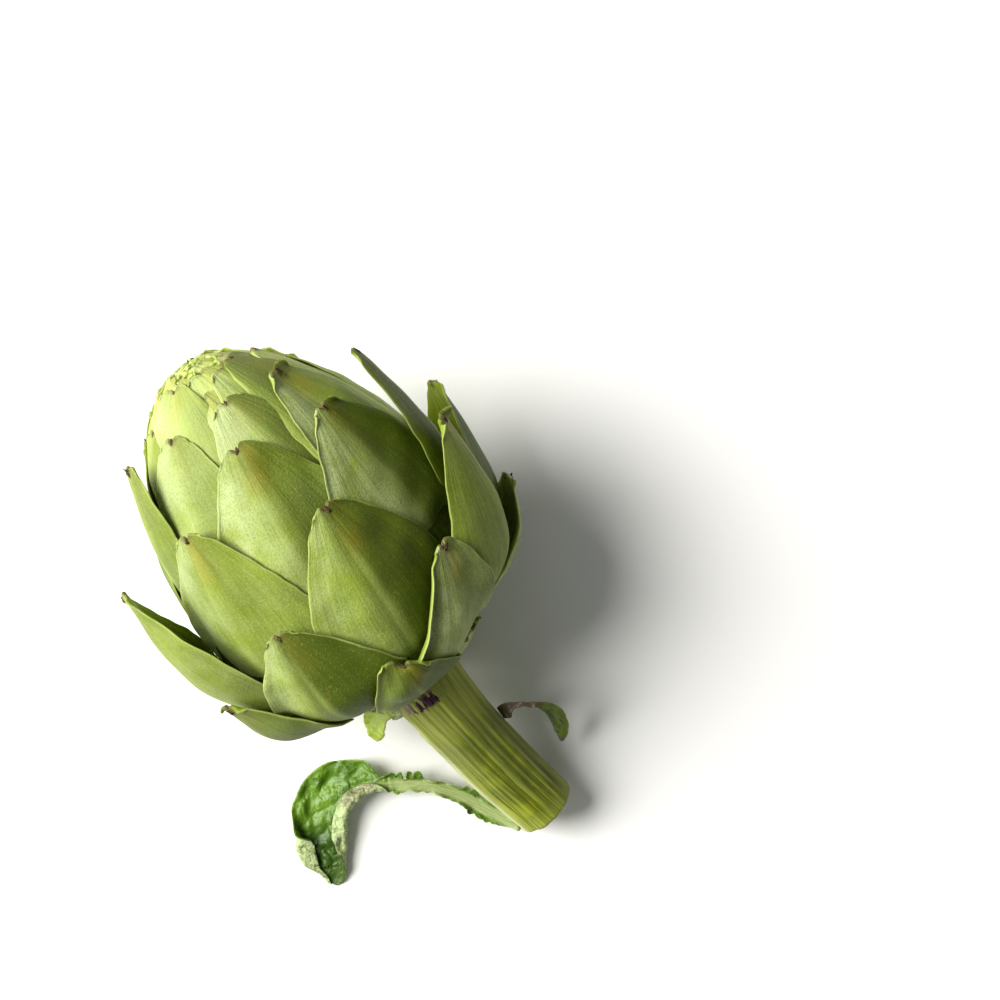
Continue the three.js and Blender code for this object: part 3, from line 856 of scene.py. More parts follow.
stub_points, stub_faces = [], []
for number in numbers:
    facts, points, u, v, half = bracts[number]
    draw = np.random.default_rng(4000 + number)
    middle = points.shape[1] // 2
    base = points[-1, middle]
    ahead = unit(base - points[-8, middle])
    aside = unit(points[-3, middle + 4] - points[-3, middle - 4])
    outward = unit(np.cross(aside, ahead))
    grown = 1 - 0.55 * smooth_step((number - 20) / 20)
    length = draw.uniform(*STUB_LENGTHS) * grown
    thick = draw.uniform(*STUB_RADII) * grown
    bend = draw.uniform(-0.5, 0.5) * aside + draw.uniform(0.1, 0.6) * outward
    turn = np.linspace(0, 2 * np.pi, STUB_SIDES, endpoint=False)
    first = sum(len(ring) for ring in stub_points)
    for share, size in zip(STUB_SHARES, STUB_SIZES):
        centre = base - outward * 0.4 + (ahead * share + bend * share * abs(share)) * length
        rough = thick * size * draw.uniform(0.7, 1.25, STUB_SIDES)
        stub_points.append(centre + np.outer(rough * np.cos(turn), aside) * 1.3
                           + np.outer(rough * np.sin(turn), outward))
    index = first + np.arange(len(STUB_SHARES) * STUB_SIDES).reshape(-1, STUB_SIDES)
    after = np.roll(index, -1, axis=1)
    stub_faces += np.stack([index[:-1], after[:-1], after[1:], index[1:]], -1).reshape(-1, 4).tolist()
    stub_faces += [index[0, ::-1].tolist(), index[-1].tolist()]
stubs = piece_from("spine_stubs", settled(np.concatenate(stub_points)), stub_faces, {}, stub_skin())
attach(stubs, "root")
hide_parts("head")
print("spine stubs:", len(numbers))

# %% [markdown]
# ## The heart of the bud
#
# Between the bracts one sees a little of what they are packed round. A plain egg a few millimetres
# inside the envelope closes those gaps. Its colour is painted shade, dark in the depths between the
# bracts, and painted light, leaf green at its base by the stem, where light reaches it; at the very top
# it is pale with brown flecks, where the youngest tips crowd. It is a stack of rings, which is how
# anything turned, drawn out or grown round an axis is easily made.

# %% A solid made of rings
def ringed(name, rings, attributes, material, sharp=60):
    """A closed solid: rings of points joined by quads, and its two ends closed with a middle point."""
    count, around = rings.shape[:2]
    ends = np.stack([rings[0].mean(0), rings[-1].mean(0)])
    points = np.concatenate([rings.reshape(-1, 3), ends])
    index = np.arange(count * around).reshape(count, around)
    after = np.roll(index, -1, axis=1)
    walls = np.stack([index[:-1], after[:-1], after[1:], index[1:]], -1).reshape(-1, 4).tolist()
    first = [[count * around, int(b), int(a)] for a, b in zip(index[0], after[0])]
    last = [[count * around + 1, int(a), int(b)] for a, b in zip(index[-1], after[-1])]
    carried = {}
    for title, grid in attributes.items():
        tips = np.stack([grid[0].mean(0), grid[-1].mean(0)])
        carried[title] = np.concatenate([grid.reshape(-1, 3), tips])
    return piece_from(name, points, walls + first + last, carried, material, sharp)


# %% Heart
HEART_DEPTH = 5
HEART_RINGS = 48
HEART_AROUND = 72
# the painted shade of the depths between the bracts
HEART_PAINTED_SHADE = (0.02, 0.03, 0.002)


def heart_skin():
    skin = Skin("heart_skin", roughness=0.7, specular=0.2)
    spot = skin.object_place()
    streaks = skin.noise(spot, 2.5 * MM, 3.0)
    youngest, painted_light_base, _ = skin.carried("growth")  # 1 at the very top, and 1 at the base
    # painted shade in the depths, painted light in green at the base, and the pale top with brown flecks
    color = skin.mix(skin.between(streaks, 0.3, 0.7), HEART_PAINTED_SHADE, DEEP_GREEN)
    base = skin.mix(skin.between(streaks, 0.35, 0.65), LEAF_GREEN, FRESH_GREEN)
    color = skin.mix(skin.times(painted_light_base, 0.8), color, base)
    tips = skin.noise(spot, 1.3 * MM, 2.0)
    top = skin.mix(skin.between(tips, 0.4, 0.62), LEAF_GREEN, YOUNG_GREEN)
    top = skin.mix(skin.times(skin.between(tips, 0.4, 0.3), 0.8), top, BROWN)
    color = skin.mix(youngest, color, top)
    return skin.finish(color, skin.bump(streaks, 0.4))


heart_angle = np.linspace(0.12, np.pi - 0.02, HEART_RINGS)[:, None]
heart_turn = np.linspace(0, -2 * np.pi, HEART_AROUND, endpoint=False)[None, :]
radius, height, out_r, out_h = section(heart_angle)
heart_top = smooth_step((heart_angle - 2.55) / 0.3)
heart_depth = HEART_DEPTH - (HEART_DEPTH - 0.6) * heart_top
heart_reach = np.maximum(radius - out_r * heart_depth, 0.6)
heart = np.stack(np.broadcast_arrays(heart_reach * np.cos(heart_turn), heart_reach * np.sin(heart_turn),
                                     height - out_h * heart_depth), -1)
heart_painted_light_base = smooth_step((34 - height) / 12)
heart_growth = np.stack(np.broadcast_arrays(heart_top + 0 * heart_turn, heart_painted_light_base, 0.0), -1)
heart_piece = ringed("heart", settled(heart), {"growth": heart_growth}, heart_skin())
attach(heart_piece, "root")
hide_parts("head")
print("heart points:", len(heart_piece.data.vertices))

# %% [markdown]
# ## The stem
#
# The stem is a thick ribbed stalk, cut across with a knife. Each rib is a bundle of fibres, so ribs and
# grooves run its whole length, and no two are alike. The form is again a stack of rings, this time
# along a slightly bent line: a few broad ribs, finer ones between them, and a handful of deeper grooves
# at seeded places. One ridge runs down the side that faces the lamp, where a leaf's wing was joined to
# it; its pale colour is partly a painted highlight. The last rings turn in over the edge and make the
# cut face.

# %% A smooth line through given points
def smooth_line(given, count):
    """`count` evenly spaced points on a smooth curve through the given ones, and its directions."""
    given = np.array(given, float)
    padded = np.concatenate([[2 * given[0] - given[1]], given, [2 * given[-1] - given[-2]]])
    pieces = []
    for before, start, end, after in zip(padded, padded[1:], padded[2:], padded[3:]):
        gaps = [np.linalg.norm(b - a) ** 0.5 for a, b in ((before, start), (start, end), (end, after))]
        leave = gaps[1] * ((start - before) / gaps[0] - (end - before) / (gaps[0] + gaps[1])) + end - start
        arrive = gaps[1] * ((after - end) / gaps[2] - (after - start) / (gaps[1] + gaps[2])) + end - start
        t = np.linspace(0, 1, 60, endpoint=False)[:, None]
        pieces.append((2 * t ** 3 - 3 * t ** 2 + 1) * start + (t ** 3 - 2 * t ** 2 + t) * leave
                      + (3 * t ** 2 - 2 * t ** 3) * end + (t ** 3 - t ** 2) * arrive)
    curve = np.concatenate(pieces + [given[-1:]])
    travelled = np.concatenate([[0], np.cumsum(np.linalg.norm(np.diff(curve, axis=0), axis=1))])
    even = np.linspace(0, travelled[-1], count)
    points = np.stack([np.interp(even, travelled, curve[:, axis]) for axis in range(3)], -1)
    ahead = np.gradient(points, axis=0)
    return points, ahead / np.linalg.norm(ahead, axis=1, keepdims=True), even


# %% Stem shape
STEM_LINE = [(0, 0, 15), (0, -0.3, -2), (-0.2, -2.6, -28), (-0.5, -6.2, -53)]  # (up, side, axis)
STEM_RADIUS = 10
STEM_FLARE = 1.4
STEM_RINGS = 130
STEM_AROUND = 200
RIBS = [(11, 0.22), (17, 0.12), (26, 0.1), (41, 0.06)]  # how many around, and how high
GROOVES = 12
GROOVE_WIDTH = 0.05  # radians
GROOVE_DEPTHS = (0.2, 0.5)
GROOVE_TWIST = 0.08
WING_WIDTH = 0.16
WING_HEIGHT = 0.9
WING_TURN = -1.2  # where the pale ridge is, in radians from the top of the stem
CUT_RINGS = 14
CUT_EDGE = 0.9

stem_middle, stem_ahead, stem_travel = smooth_line(STEM_LINE, STEM_RINGS)
stem_turn = np.linspace(0, 2 * np.pi, STEM_AROUND, endpoint=False)[None, :]
stem_share = (stem_travel / stem_travel[-1])[:, None]
stem_draw = np.random.default_rng(77)
relief = np.zeros((STEM_RINGS, STEM_AROUND))
for around, size in RIBS:
    drift = 0.5 * ripples(stem_share * 60, stem_turn * 0, 40, around)
    relief += size * np.cos(around * stem_turn + drift + stem_draw.uniform(0, 6))
for _ in range(GROOVES):
    groove_turn = stem_draw.uniform(0, 2 * np.pi)
    twist = GROOVE_TWIST * (stem_share - 0.5) * stem_draw.uniform(-1, 1)
    off = np.angle(np.exp(1j * (stem_turn - groove_turn - twist)))
    relief -= stem_draw.uniform(*GROOVE_DEPTHS) * np.exp(-((off / GROOVE_WIDTH) ** 2))
from_wing = np.angle(np.exp(1j * (stem_turn - WING_TURN)))
wing = np.exp(-((from_wing / WING_WIDTH) ** 2)) + 0 * stem_share
relief += WING_HEIGHT * wing * smooth_step((stem_share - 0.25) / 0.1)
relief *= 1 - 0.65 * smooth_step((stem_share - 0.86) / 0.14)
stem_size = STEM_RADIUS + STEM_FLARE * (1 - smooth_step(stem_share * 1.6))
stem_reach = stem_size + relief + 0.5 * ripples(stem_turn * 0, stem_share * 68, 50, 5)


def about_stem(ring, reach, turn):
    """Points round the stem's line: turn 0 is its top, a quarter turn its side."""
    ahead = stem_ahead[ring]
    upwards = np.array([1.0, 0, 0]) - ahead * ahead[..., :1]
    upwards /= np.linalg.norm(upwards, axis=-1, keepdims=True)
    sidewards = np.cross(upwards, ahead) * -1
    return (stem_middle[ring] + upwards * (reach * np.cos(turn))[..., None]
            + sidewards * (reach * np.sin(turn))[..., None])


stem_rows = np.arange(STEM_RINGS)[:, None] + 0 * stem_turn.astype(int)
stem_points = about_stem(stem_rows, stem_reach, stem_turn + 0 * stem_share)
cut_share = np.linspace(0, 1, CUT_RINGS)[1:, None]
cut_reach = stem_reach[-1:] - CUT_EDGE * (1 - np.sqrt(1 - np.minimum(cut_share * 6, 1) ** 2)) \
    - (stem_reach[-1:] - CUT_EDGE - 0.4) * smooth_step(cut_share ** 1.1)
cut_depth = CUT_EDGE * np.minimum(cut_share * 6, 1) + 0.25 * ripples(
    cut_reach * np.cos(stem_turn), cut_reach * np.sin(stem_turn), 6, 12)
cut_points = about_stem(np.full(cut_reach.shape, STEM_RINGS - 1), cut_reach, stem_turn + 0 * cut_share)
cut_points = cut_points + stem_ahead[-1] * cut_depth[..., None]
print("stem:", round(float(stem_travel[-1]), 1), "mm long with the part inside the bud")

# %% Stem skin and object
STEM_DARK = (0.10, 0.13, 0.002)
STEM_OLIVE = (0.23, 0.27, 0.004)
STEM_STREAK = (0.46, 0.50, 0.085)
STEM_PALE_HIGHLIGHT = (0.58, 0.62, 0.32)
STEM_GREY = (0.20, 0.225, 0.07)
PITH = (0.60, 0.62, 0.42)
PITH_RING = (0.30, 0.38, 0.12)


def stem_skin():
    skin = Skin("stem_skin", roughness=0.55, specular=0.2)
    x, y, along = skin.carried("fibre")  # across the stem and along it, mm
    cut, ridge, share = skin.carried("finish")  # the cut face, the pale ridge, 0 middle to 1 skin or rib
    # the first: greyer near the bud, and painted shade on the side turned from the lamp; the second:
    # painted light near the bud, where its shadow falls on the stem; the third: nearness to the cut
    grey, painted_light_near_bud, near_cut = skin.carried("growth")
    spot = skin.object_place()
    slow = skin.times(along, 0.035)
    fine = skin.noise(skin.place(x, y, skin.times(along, 0.025)), 0.6, 3.0, 0.6)
    broad = skin.noise(skin.place(x, y, slow), 2.6, 2.0)
    lines = skin.noise(skin.place(x, y, skin.times(along, 0.012)), 1.3, 1.0)
    specks = skin.noise(spot, 0.6 * MM, 3.0)

    cloud = skin.noise(spot, 9 * MM, 2.0)
    color = skin.mix(skin.between(cloud, 0.38, 0.68), STEM_DARK, STEM_OLIVE)
    color = skin.mix(skin.times(skin.between(broad, 0.45, 0.66), 0.22), color, STEM_STREAK)
    color = skin.mix(skin.times(skin.between(share, 1.04, 1.32), 0.3), color, STEM_STREAK)
    # darker in the grooves: painted shade in the recesses
    color = skin.mix(skin.times(skin.between(share, 0.96, 0.72), 0.6), color, STEM_DARK)
    color = skin.mix(skin.times(skin.between(fine, 0.48, 0.66), 0.5), color, STEM_STREAK)
    color = skin.mix(skin.times(skin.between(fine, 0.47, 0.33), 0.55), color, STEM_DARK)
    color = skin.mix(skin.times(skin.between(lines, 0.42, 0.36), 0.45), color, STEM_DARK)
    # greyer near the bud, and painted shade on the side turned from the lamp
    color = skin.mix(skin.times(grey, skin.between(broad, 0.3, 0.6)), color, STEM_GREY)
    color = skin.mix(skin.times(skin.between(specks, 0.6, 0.72), 0.2), color, STEM_STREAK)
    # the pale ridge on the lamp's side, partly a painted highlight
    color = skin.mix(skin.times(ridge, skin.between(fine, 0.25, 0.55)), color, STEM_PALE_HIGHLIGHT)
    color = skin.mix(skin.times(near_cut, 0.3), color, STEM_STREAK)
    # painted light near the bud, where its shadow falls on the stem
    color = skin.mix(skin.times(painted_light_near_bud, 0.45), color, STEM_STREAK)
    bundles = skin.noise(skin.place(x, y, 0.0), 0.9, 1.0)
    pith = skin.mix(skin.between(bundles, 0.62, 0.72), PITH, PITH_RING)
    pith = skin.mix(skin.between(share, 0.74, 0.88), pith, PITH_RING)
    pith = skin.mix(skin.times(skin.between(specks, 0.5, 0.7), 0.35), pith, STEM_STREAK)
    color = skin.mix(cut, color, pith)
    return skin.finish(color, skin.bump(fine, 0.22, skin.bump(lines, 0.3, skin.bump(specks, 0.06))))


def section_place_of(reach, turn, travel):
    return np.stack(np.broadcast_arrays(reach * np.cos(turn), reach * np.sin(turn), travel), -1)


rings = settled(np.concatenate([stem_points, cut_points]))
ridge = wing * smooth_step((stem_share - 0.2) / 0.08)
# greyer near the bud; on the side turned from the lamp, painted shade
greyness_and_painted_shade = np.clip(0.9 - 1.6 * np.abs(stem_share - 0.28), 0, 0.6)
greyness_and_painted_shade = greyness_and_painted_shade + 0.6 * smooth_step(np.sin(stem_turn) - 0.2)
stem_values = {
    "fibre": np.concatenate([section_place_of(stem_size, stem_turn, stem_travel[:, None]),
                             section_place_of(cut_reach, stem_turn, stem_travel[-1] + cut_depth)]),
    "finish": np.concatenate([
        np.stack(np.broadcast_arrays(0.0, ridge, 1 + relief), -1),
        np.stack(np.broadcast_arrays(smooth_step(cut_share * 9 - 0.5), 0.0,
                                     cut_reach / stem_reach[-1:]), -1)]),
    # greyness with painted shade, painted light near the bud, and nearness to the cut
    "growth": np.concatenate([
        np.stack(np.broadcast_arrays(np.clip(greyness_and_painted_shade, 0, 0.7), smooth_step((0.47 - stem_share) / 0.18),
                                     smooth_step((stem_share - 0.9) / 0.1)), -1),
        np.zeros((*cut_reach.shape, 3))]),
}
stem_piece = ringed("stalk", rings, stem_values, stem_skin(), sharp=50)
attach(stem_piece, "root")
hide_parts("stem")
print("stalk points:", len(stem_piece.data.vertices))

# %% [markdown]
# ## A torn sheath
#
# Where a bract was pulled off, a scrap of its base still lies on the top of the stem, dull beige, with
# a frayed edge of dark purple hairs. It is a patch of the stem's own surface, lifted a little, whose
# last rows are drawn out into uneven teeth.

# %% Sheath
SHEATH_RINGS = (6, 24)
SHEATH_TURNS = (-1.45, 0.2)
SHEATH_COLUMNS = 150
SHEATH_LIFT = 0.35
SHEATH_THICKNESS = 0.3
SHEATH_OLIVE = (0.17, 0.15, 0.07)
SHEATH_BEIGE = (0.34, 0.30, 0.19)
HAIR_DARK = (0.018, 0.006, 0.014)
HAIR_PURPLE = (0.10, 0.03, 0.07)


def sheath_skin():
    skin = Skin("sheath_skin", roughness=0.7, specular=0.2)
    turn, share, hairy = skin.carried("fibre")
    spot = skin.object_place()
    grain = skin.noise(spot, 0.5 * MM, 3.0)
    streaks = skin.noise(skin.place(skin.times(turn, 14.0), skin.times(share, 1.5), 0.0), 1.0, 3.0)
    color = skin.mix(skin.between(streaks, 0.35, 0.65), SHEATH_OLIVE, SHEATH_BEIGE)
    frayed = skin.times(hairy, skin.between(skin.times_plus(grain, 0.35, share), 0.6, 0.85))
    hairs = skin.mix(skin.between(streaks, 0.4, 0.6), HAIR_DARK, HAIR_PURPLE)
    color = skin.mix(frayed, color, hairs)
    return skin.finish(color, skin.bump(grain, 0.15, skin.bump(streaks, 0.3)))


sheath_ring = np.arange(*SHEATH_RINGS)[:, None]
sheath_turn = np.linspace(*SHEATH_TURNS, SHEATH_COLUMNS)[None, :]
sheath_share = (sheath_ring - SHEATH_RINGS[0]) / (SHEATH_RINGS[1] - 1 - SHEATH_RINGS[0])
sheath_hairy = smooth_step((sheath_turn + 0.75) / 0.2) * smooth_step((0.16 - sheath_turn) / 0.1)
sheath_reach = stem_size[sheath_ring[:, 0]] + 0.35 + SHEATH_LIFT * sheath_share ** 2 \
    + 0.3 * ripples(sheath_turn * 10, sheath_share * 6, 3, 91)
rows_of_ring = np.broadcast_to(sheath_ring, sheath_reach.shape)
sheath = about_stem(rows_of_ring, sheath_reach, np.broadcast_to(sheath_turn, sheath_reach.shape))
teeth = 0.5 * ripples(sheath_turn * 10, sheath_turn * 0, 3.5, 92) + sheath_hairy * np.maximum(
    ripples(sheath_turn * 10, sheath_turn * 0, 0.45, 93), -0.3) * 1.2
sheath = sheath + stem_ahead[rows_of_ring] * (teeth * smooth_step((sheath_share - 0.75) / 0.25))[..., None]
sheath_values = {"fibre": np.stack(np.broadcast_arrays(sheath_turn, sheath_share, sheath_hairy), -1)}
sheath_piece = blade("torn_sheath", sheath, np.full(sheath_reach.shape, SHEATH_THICKNESS),
                     sheath_values, sheath_skin(), settled)
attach(sheath_piece, "root")
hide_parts("stem")
print("sheath points:", len(sheath_piece.data.vertices))

# %% [markdown]
# ## The leaves
#
# An artichoke is picked with a leaf or two. Such a leaf is soft: it has a pale ribbed stalk with frills
# left on its sides, and a dark, blistered blade, which wilts, rolls its margins over and shows its pale
# underside. Here a leaf is swept along its midrib. At each station the two half widths are given, and
# how far each half slopes down and its margin curls over. The curl is the sum of many small turns, so
# the blade keeps its true width as it rolls up. Blisters and frills are then raised in the mesh.

# %% A leaf's surface
LEAF_ROWS = 250
HALF_COLUMNS = 34


def leaf_half(width, slope, curl, fold):
    """Across and up of one half of each section, from the midrib out to the margin."""
    q = (np.arange(HALF_COLUMNS)[None, :] + 0.5) / HALF_COLUMNS
    turn = np.radians(curl[:, None] * smooth_step((q - fold[0]) / fold[1])
                      - slope[:, None] * (1 - smooth_step(q * 1.3)))
    step = width[:, None] / HALF_COLUMNS
    return np.cumsum(np.cos(turn) * step, 1), np.cumsum(np.sin(turn) * step, 1)


def frill(along, pitch, seed):
    """Rounded lobes of uneven size, 0 to 1, along a margin."""
    phase = along / pitch + 0.35 * ripples(along, along * 0, pitch * 4, seed)
    height = 0.7 + 0.4 * ripples(along, along * 0, pitch * 3, seed + 1)
    return np.sqrt(np.abs(np.sin(np.pi * phase))) * np.clip(height, 0.2, 1.2)


def leaf_surface(leaf):
    """The upper face in the frame, with each point's share along, signed share across, and mm."""
    rows = leaf.get("rows", LEAF_ROWS)
    middle, ahead, along = smooth_line(leaf["midrib"], rows)
    t = along / along[-1]
    stations = np.array(leaf["stations"], float)
    outer, inner, slope, outer_curl, inner_curl = (
        np.interp(t, stations[:, 0], stations[:, which]) for which in range(1, 6))
    for side, start, end, reach, pitch in leaf.get("frills", []):
        lobes = reach * frill(along, pitch, leaf["seed"] + int(start * 100))
        lobes = lobes * smooth_step((t - start) / 0.03) * smooth_step((end - t) / 0.03)
        outer, inner = (outer + lobes, inner) if side > 0 else (outer, inner + lobes)
    margin = leaf["uneven"] * smooth_step(t * 4) * (1 - 0.5 * smooth_step((outer_curl - 60) / 60))
    outer = outer + margin * ripples(along, along * 0, 5, leaf["seed"] + 3)
    inner = inner + margin * ripples(along, along * 0, 4, leaf["seed"] + 4)

    right = np.cross(ahead, np.array(leaf.get("up", (0, 0, 1)), float))
    right /= np.linalg.norm(right, axis=1, keepdims=True)
    up = np.cross(right, ahead)
    x_out, y_out = leaf_half(outer, slope, outer_curl, leaf.get("outer_fold", (0.15, 0.75)))
    x_in, y_in = leaf_half(inner, slope * 0, inner_curl, leaf.get("inner_fold", (0.15, 0.75)))
    x = np.concatenate([-x_in[:, ::-1], np.zeros((rows, 1)), x_out], 1)
    y = np.concatenate([y_in[:, ::-1], np.zeros((rows, 1)), y_out], 1)
    points = middle[:, None] + right[:, None] * x[..., None] + up[:, None] * y[..., None]
    points -= np.array([*PLAN_CENTRE, 0.0])

    q = np.linspace(-1, 1, 2 * HALF_COLUMNS + 1)[None, :]
    reach = np.where(q > 0, outer[:, None], inner[:, None]) * np.abs(q)
    flow = along[:, None] - 0.75 * reach
    ribbed = np.abs(np.sin(np.pi * flow / leaf["vein_gap"])) ** 0.6
    fleshy = smooth_step((reach - 1.0) / 2.0) * smooth_step(t / 0.3)[:, None]
    blisters = ripples(reach * np.sign(q), along[:, None] * 1.0, leaf["blister"], leaf["seed"] + 7, 14)
    lumps = leaf["lumps"] * fleshy * (0.6 * ribbed + 0.7 * blisters)
    wave = leaf["wave"] * np.abs(q) ** 2 * np.sin(t[:, None] * leaf["waves"] + np.where(q > 0, 0, 2))
    folded = smooth_step((q - 0.5) / 0.12) * smooth_step((outer_curl - 60) / 60)[:, None]
    points = points + surface_normals(points) * ((lumps + wave) * (1 - 0.85 * folded))[..., None]
    shape = points.shape[:2]
    whole = [np.broadcast_to(value, shape) for value in (t[:, None], q, along[:, None], reach)]
    return points, whole


# %% Leaf skin
BLADE_DARK = (0.045, 0.115, 0.003)
BLADE_PAINTED_SHADE = (0.022, 0.06, 0.002)
BLADE_GREEN = (0.10, 0.21, 0.006)
BLADE_BRIGHT = (0.24, 0.36, 0.04)
UNDERSIDE = (0.38, 0.46, 0.21)
UNDERSIDE_NET = (0.24, 0.31, 0.11)
RIB_PALE = (0.30, 0.38, 0.10)
WITHERED = (0.115, 0.065, 0.05)
# painted shade on the long leaf towards its tip
PAINTED_SHADE_END = (62.0, 74.0)  # mm along, where the long leaf grows darker towards its tip


def leaf_skin(name, dark, fresh, bright):
    skin = Skin(name, roughness=0.42, specular=0.45)
    x, along, reach = skin.carried("fibre")  # mm across, mm along, mm from the midrib
    rim, ribbed, inside = skin.carried("finish")  # mm from the margin, midrib 0 to 1, underside
    stalk, withered, flow = skin.carried("growth")
    spot = skin.object_place()
    wide = skin.noise(spot, 7 * MM, 2.0)
    small = skin.noise(spot, 0.8 * MM, 3.0, 0.6)
    warp = skin.times(skin.noise(spot, 2.6 * MM, 2.0), 4.0)
    weft = skin.times(skin.noise(spot, 3.7 * MM, 2.0), 4.0)
    net = skin.tree.nodes.new("ShaderNodeTexVoronoi")
    net.feature = "SMOOTH_F1"
    net.inputs["Scale"].default_value = 1 / 2.4
    skin.tree.links.new(skin.place(skin.plus(x, warp), skin.plus(along, weft), 0.0),
                        net.inputs["Vector"])
    blister = skin.between(net.outputs["Distance"], 0.75, 0.1)  # 1 on top of each blister
    fleshy = skin.work_out("MAXIMUM", ribbed, stalk)
    quilted = skin.times(blister, skin.minus(1.0, fleshy))
    side_veins = skin.between(skin.work_out("ABSOLUTE", skin.work_out("SINE", flow)), 0.14, 0.0)

    color = skin.mix(skin.between(wide, 0.35, 0.65), dark, fresh)
    # a painted highlight on the top of each blister
    color = skin.mix(skin.times(quilted, 0.35), color, fresh)
    color = skin.mix(skin.times(skin.between(small, 0.45, 0.75), 0.15), color, bright)
    color = skin.mix(skin.times(side_veins, 0.22), color, bright)
    color = skin.mix(skin.times(skin.between(rim, 0.4, 0.0), 0.3), color, bright)
    # painted shade on the long leaf towards its tip
    color = skin.mix(skin.times(skin.between(along, *PAINTED_SHADE_END), 0.85), color, BLADE_PAINTED_SHADE)
    grains = skin.noise(spot, 1.5 * MM, 2.0)
    under = skin.mix(skin.between(grains, 0.3, 0.58), UNDERSIDE_NET, UNDERSIDE)
    under = skin.mix(skin.times(skin.between(small, 0.42, 0.65), 0.3), under, UNDERSIDE_NET)
    color = skin.mix(inside, color, under)
    fibres = skin.noise(skin.place(x, skin.times(along, 0.06), 0.0), 0.45, 2.0)
    stalk_color = skin.mix(skin.between(fibres, 0.3, 0.7), RIB_PALE, UNDERSIDE)
    color = skin.mix(fleshy, color, stalk_color)
    color = skin.mix(skin.times(withered, skin.between(small, 0.25, 0.5)), color, WITHERED)
    ridges = skin.times(fibres, fleshy)
    granular = skin.times(grains, inside)
    normal = skin.bump(granular, 0.7)
    normal = skin.bump(ridges, 0.35, normal)
    normal = skin.bump(quilted, 0.6, normal)
    normal = skin.bump(small, 0.12, normal)
    return skin.finish(color, normal)


# %% [markdown]
# ## The four leaves
#
# Each leaf is a short list of facts. The long one lies on the table and curls its margins right over.
# The bright one and a dry scrap beside it grow where the stem meets the bud, and the narrow one hangs
# from a withered stalk on the other side. All four come from the same functions.

# %% Leaf objects
LEAF_COLORS = (BLADE_DARK, BLADE_GREEN, BLADE_BRIGHT)
YOUNG_LEAF_COLORS = ((0.23, 0.33, 0.02), (0.36, 0.47, 0.035), (0.5, 0.58, 0.15))
SCALE_COLORS = ((0.12, 0.15, 0.06), (0.2, 0.24, 0.11), (0.3, 0.34, 0.2))
SIDE_LEAF_COLORS = ((0.05, 0.075, 0.004), (0.1, 0.15, 0.007), (0.2, 0.27, 0.04))

# midrib: points that it passes through, in mm, (along the stem, aside) from the bud's collar and height
# above the table. stations: share of the length, half widths on the outer and the inner side, how far
# the outer half slopes down, and how far each margin curls over, in degrees. frills: side, start and
# end as shares of the length, reach and pitch. outer_fold, inner_fold: where the curl of a margin starts
# and over how much of the half it happens, as shares. thickness, rib, wave, lumps, uneven: mm. blister,
# vein_gap: mm across. rib_shown: how pale the midrib is. stalk_end: share of the length.
CURLED_LEAF = dict(
    midrib=[(-50, 4.3, 5), (-46, 6.8, 5), (-41.3, 9.1, 5), (-36.4, 11.3, 5.3), (-31.8, 13.6, 5.8),
            (-27.6, 16.4, 6.4), (-24, 19.4, 6.8), (-20.9, 22.9, 7), (-18.1, 26.6, 7.1), (-15.8, 29.5, 7),
            (-13.7, 32.6, 6.8), (-12.5, 35.5, 6.4), (-12.1, 38.7, 6.1), (-12.4, 42, 5.8),
            (-13.6, 45.2, 5.4), (-15.4, 47.7, 5), (-17.4, 49.7, 4.6), (-19.7, 51.4, 4.1),
            (-22.2, 52.9, 3.5), (-24.4, 54.4, 2.8), (-26.5, 56, 2.1), (-28.6, 57.8, 1.4),
            (-30.3, 59.6, 0.9), (-31.8, 61.8, 0.6)],
    stations=[(0, 0.5, 0.6, 0, 10, 10), (0.05, 1.4, 1.8, 0, 10, 10), (0.12, 2.2, 2.5, 0, 20, 10),
              (0.25, 2.2, 2.1, 0, 30, 20), (0.4, 1.7, 1.5, 0, 30, 20), (0.5, 1.7, 1.6, 0, 30, 40),
              (0.535, 3, 3, 10, 30, 120), (0.555, 6.2, 3.5, 25, 20, 170),
              (0.59, 9.2, 5.5, 30, 10, 190), (0.63, 12.3, 7, 30, 10, 195),
              (0.67, 14.5, 7.4, 28, 10, 195), (0.71, 15.6, 7.4, 26, 10, 195),
              (0.75, 15.4, 7.4, 24, 12, 195), (0.79, 15.3, 7.2, 20, 45, 190),
              (0.81, 18.8, 6.8, 15, 150, 180), (0.83, 19.6, 6, 12, 178, 165),
              (0.86, 19.4, 4.8, 10, 182, 145), (0.9, 18, 3.4, 6, 184, 90), (0.94, 15, 2.9, 3, 184, 50),
              (0.97, 9.5, 2.2, 0, 184, 40), (1, 2.5, 1.1, 0, 170, 20)],
    frills=[(1, 0.37, 0.53, 3.2, 3.2), (1, 0.17, 0.26, 3.2, 3.0), (-1, 0.43, 0.54, 1.2, 2.6),
            (-1, 0.05, 0.24, 1.1, 2.3)],
    outer_fold=(0.6, 0.2), inner_fold=(0.12, 0.5),
    thickness=0.75, rib=1.4, wave=0.35, waves=60, lumps=0.8, blister=5, vein_gap=6.5,
    uneven=0.4, seed=300, stalk_end=0.54)
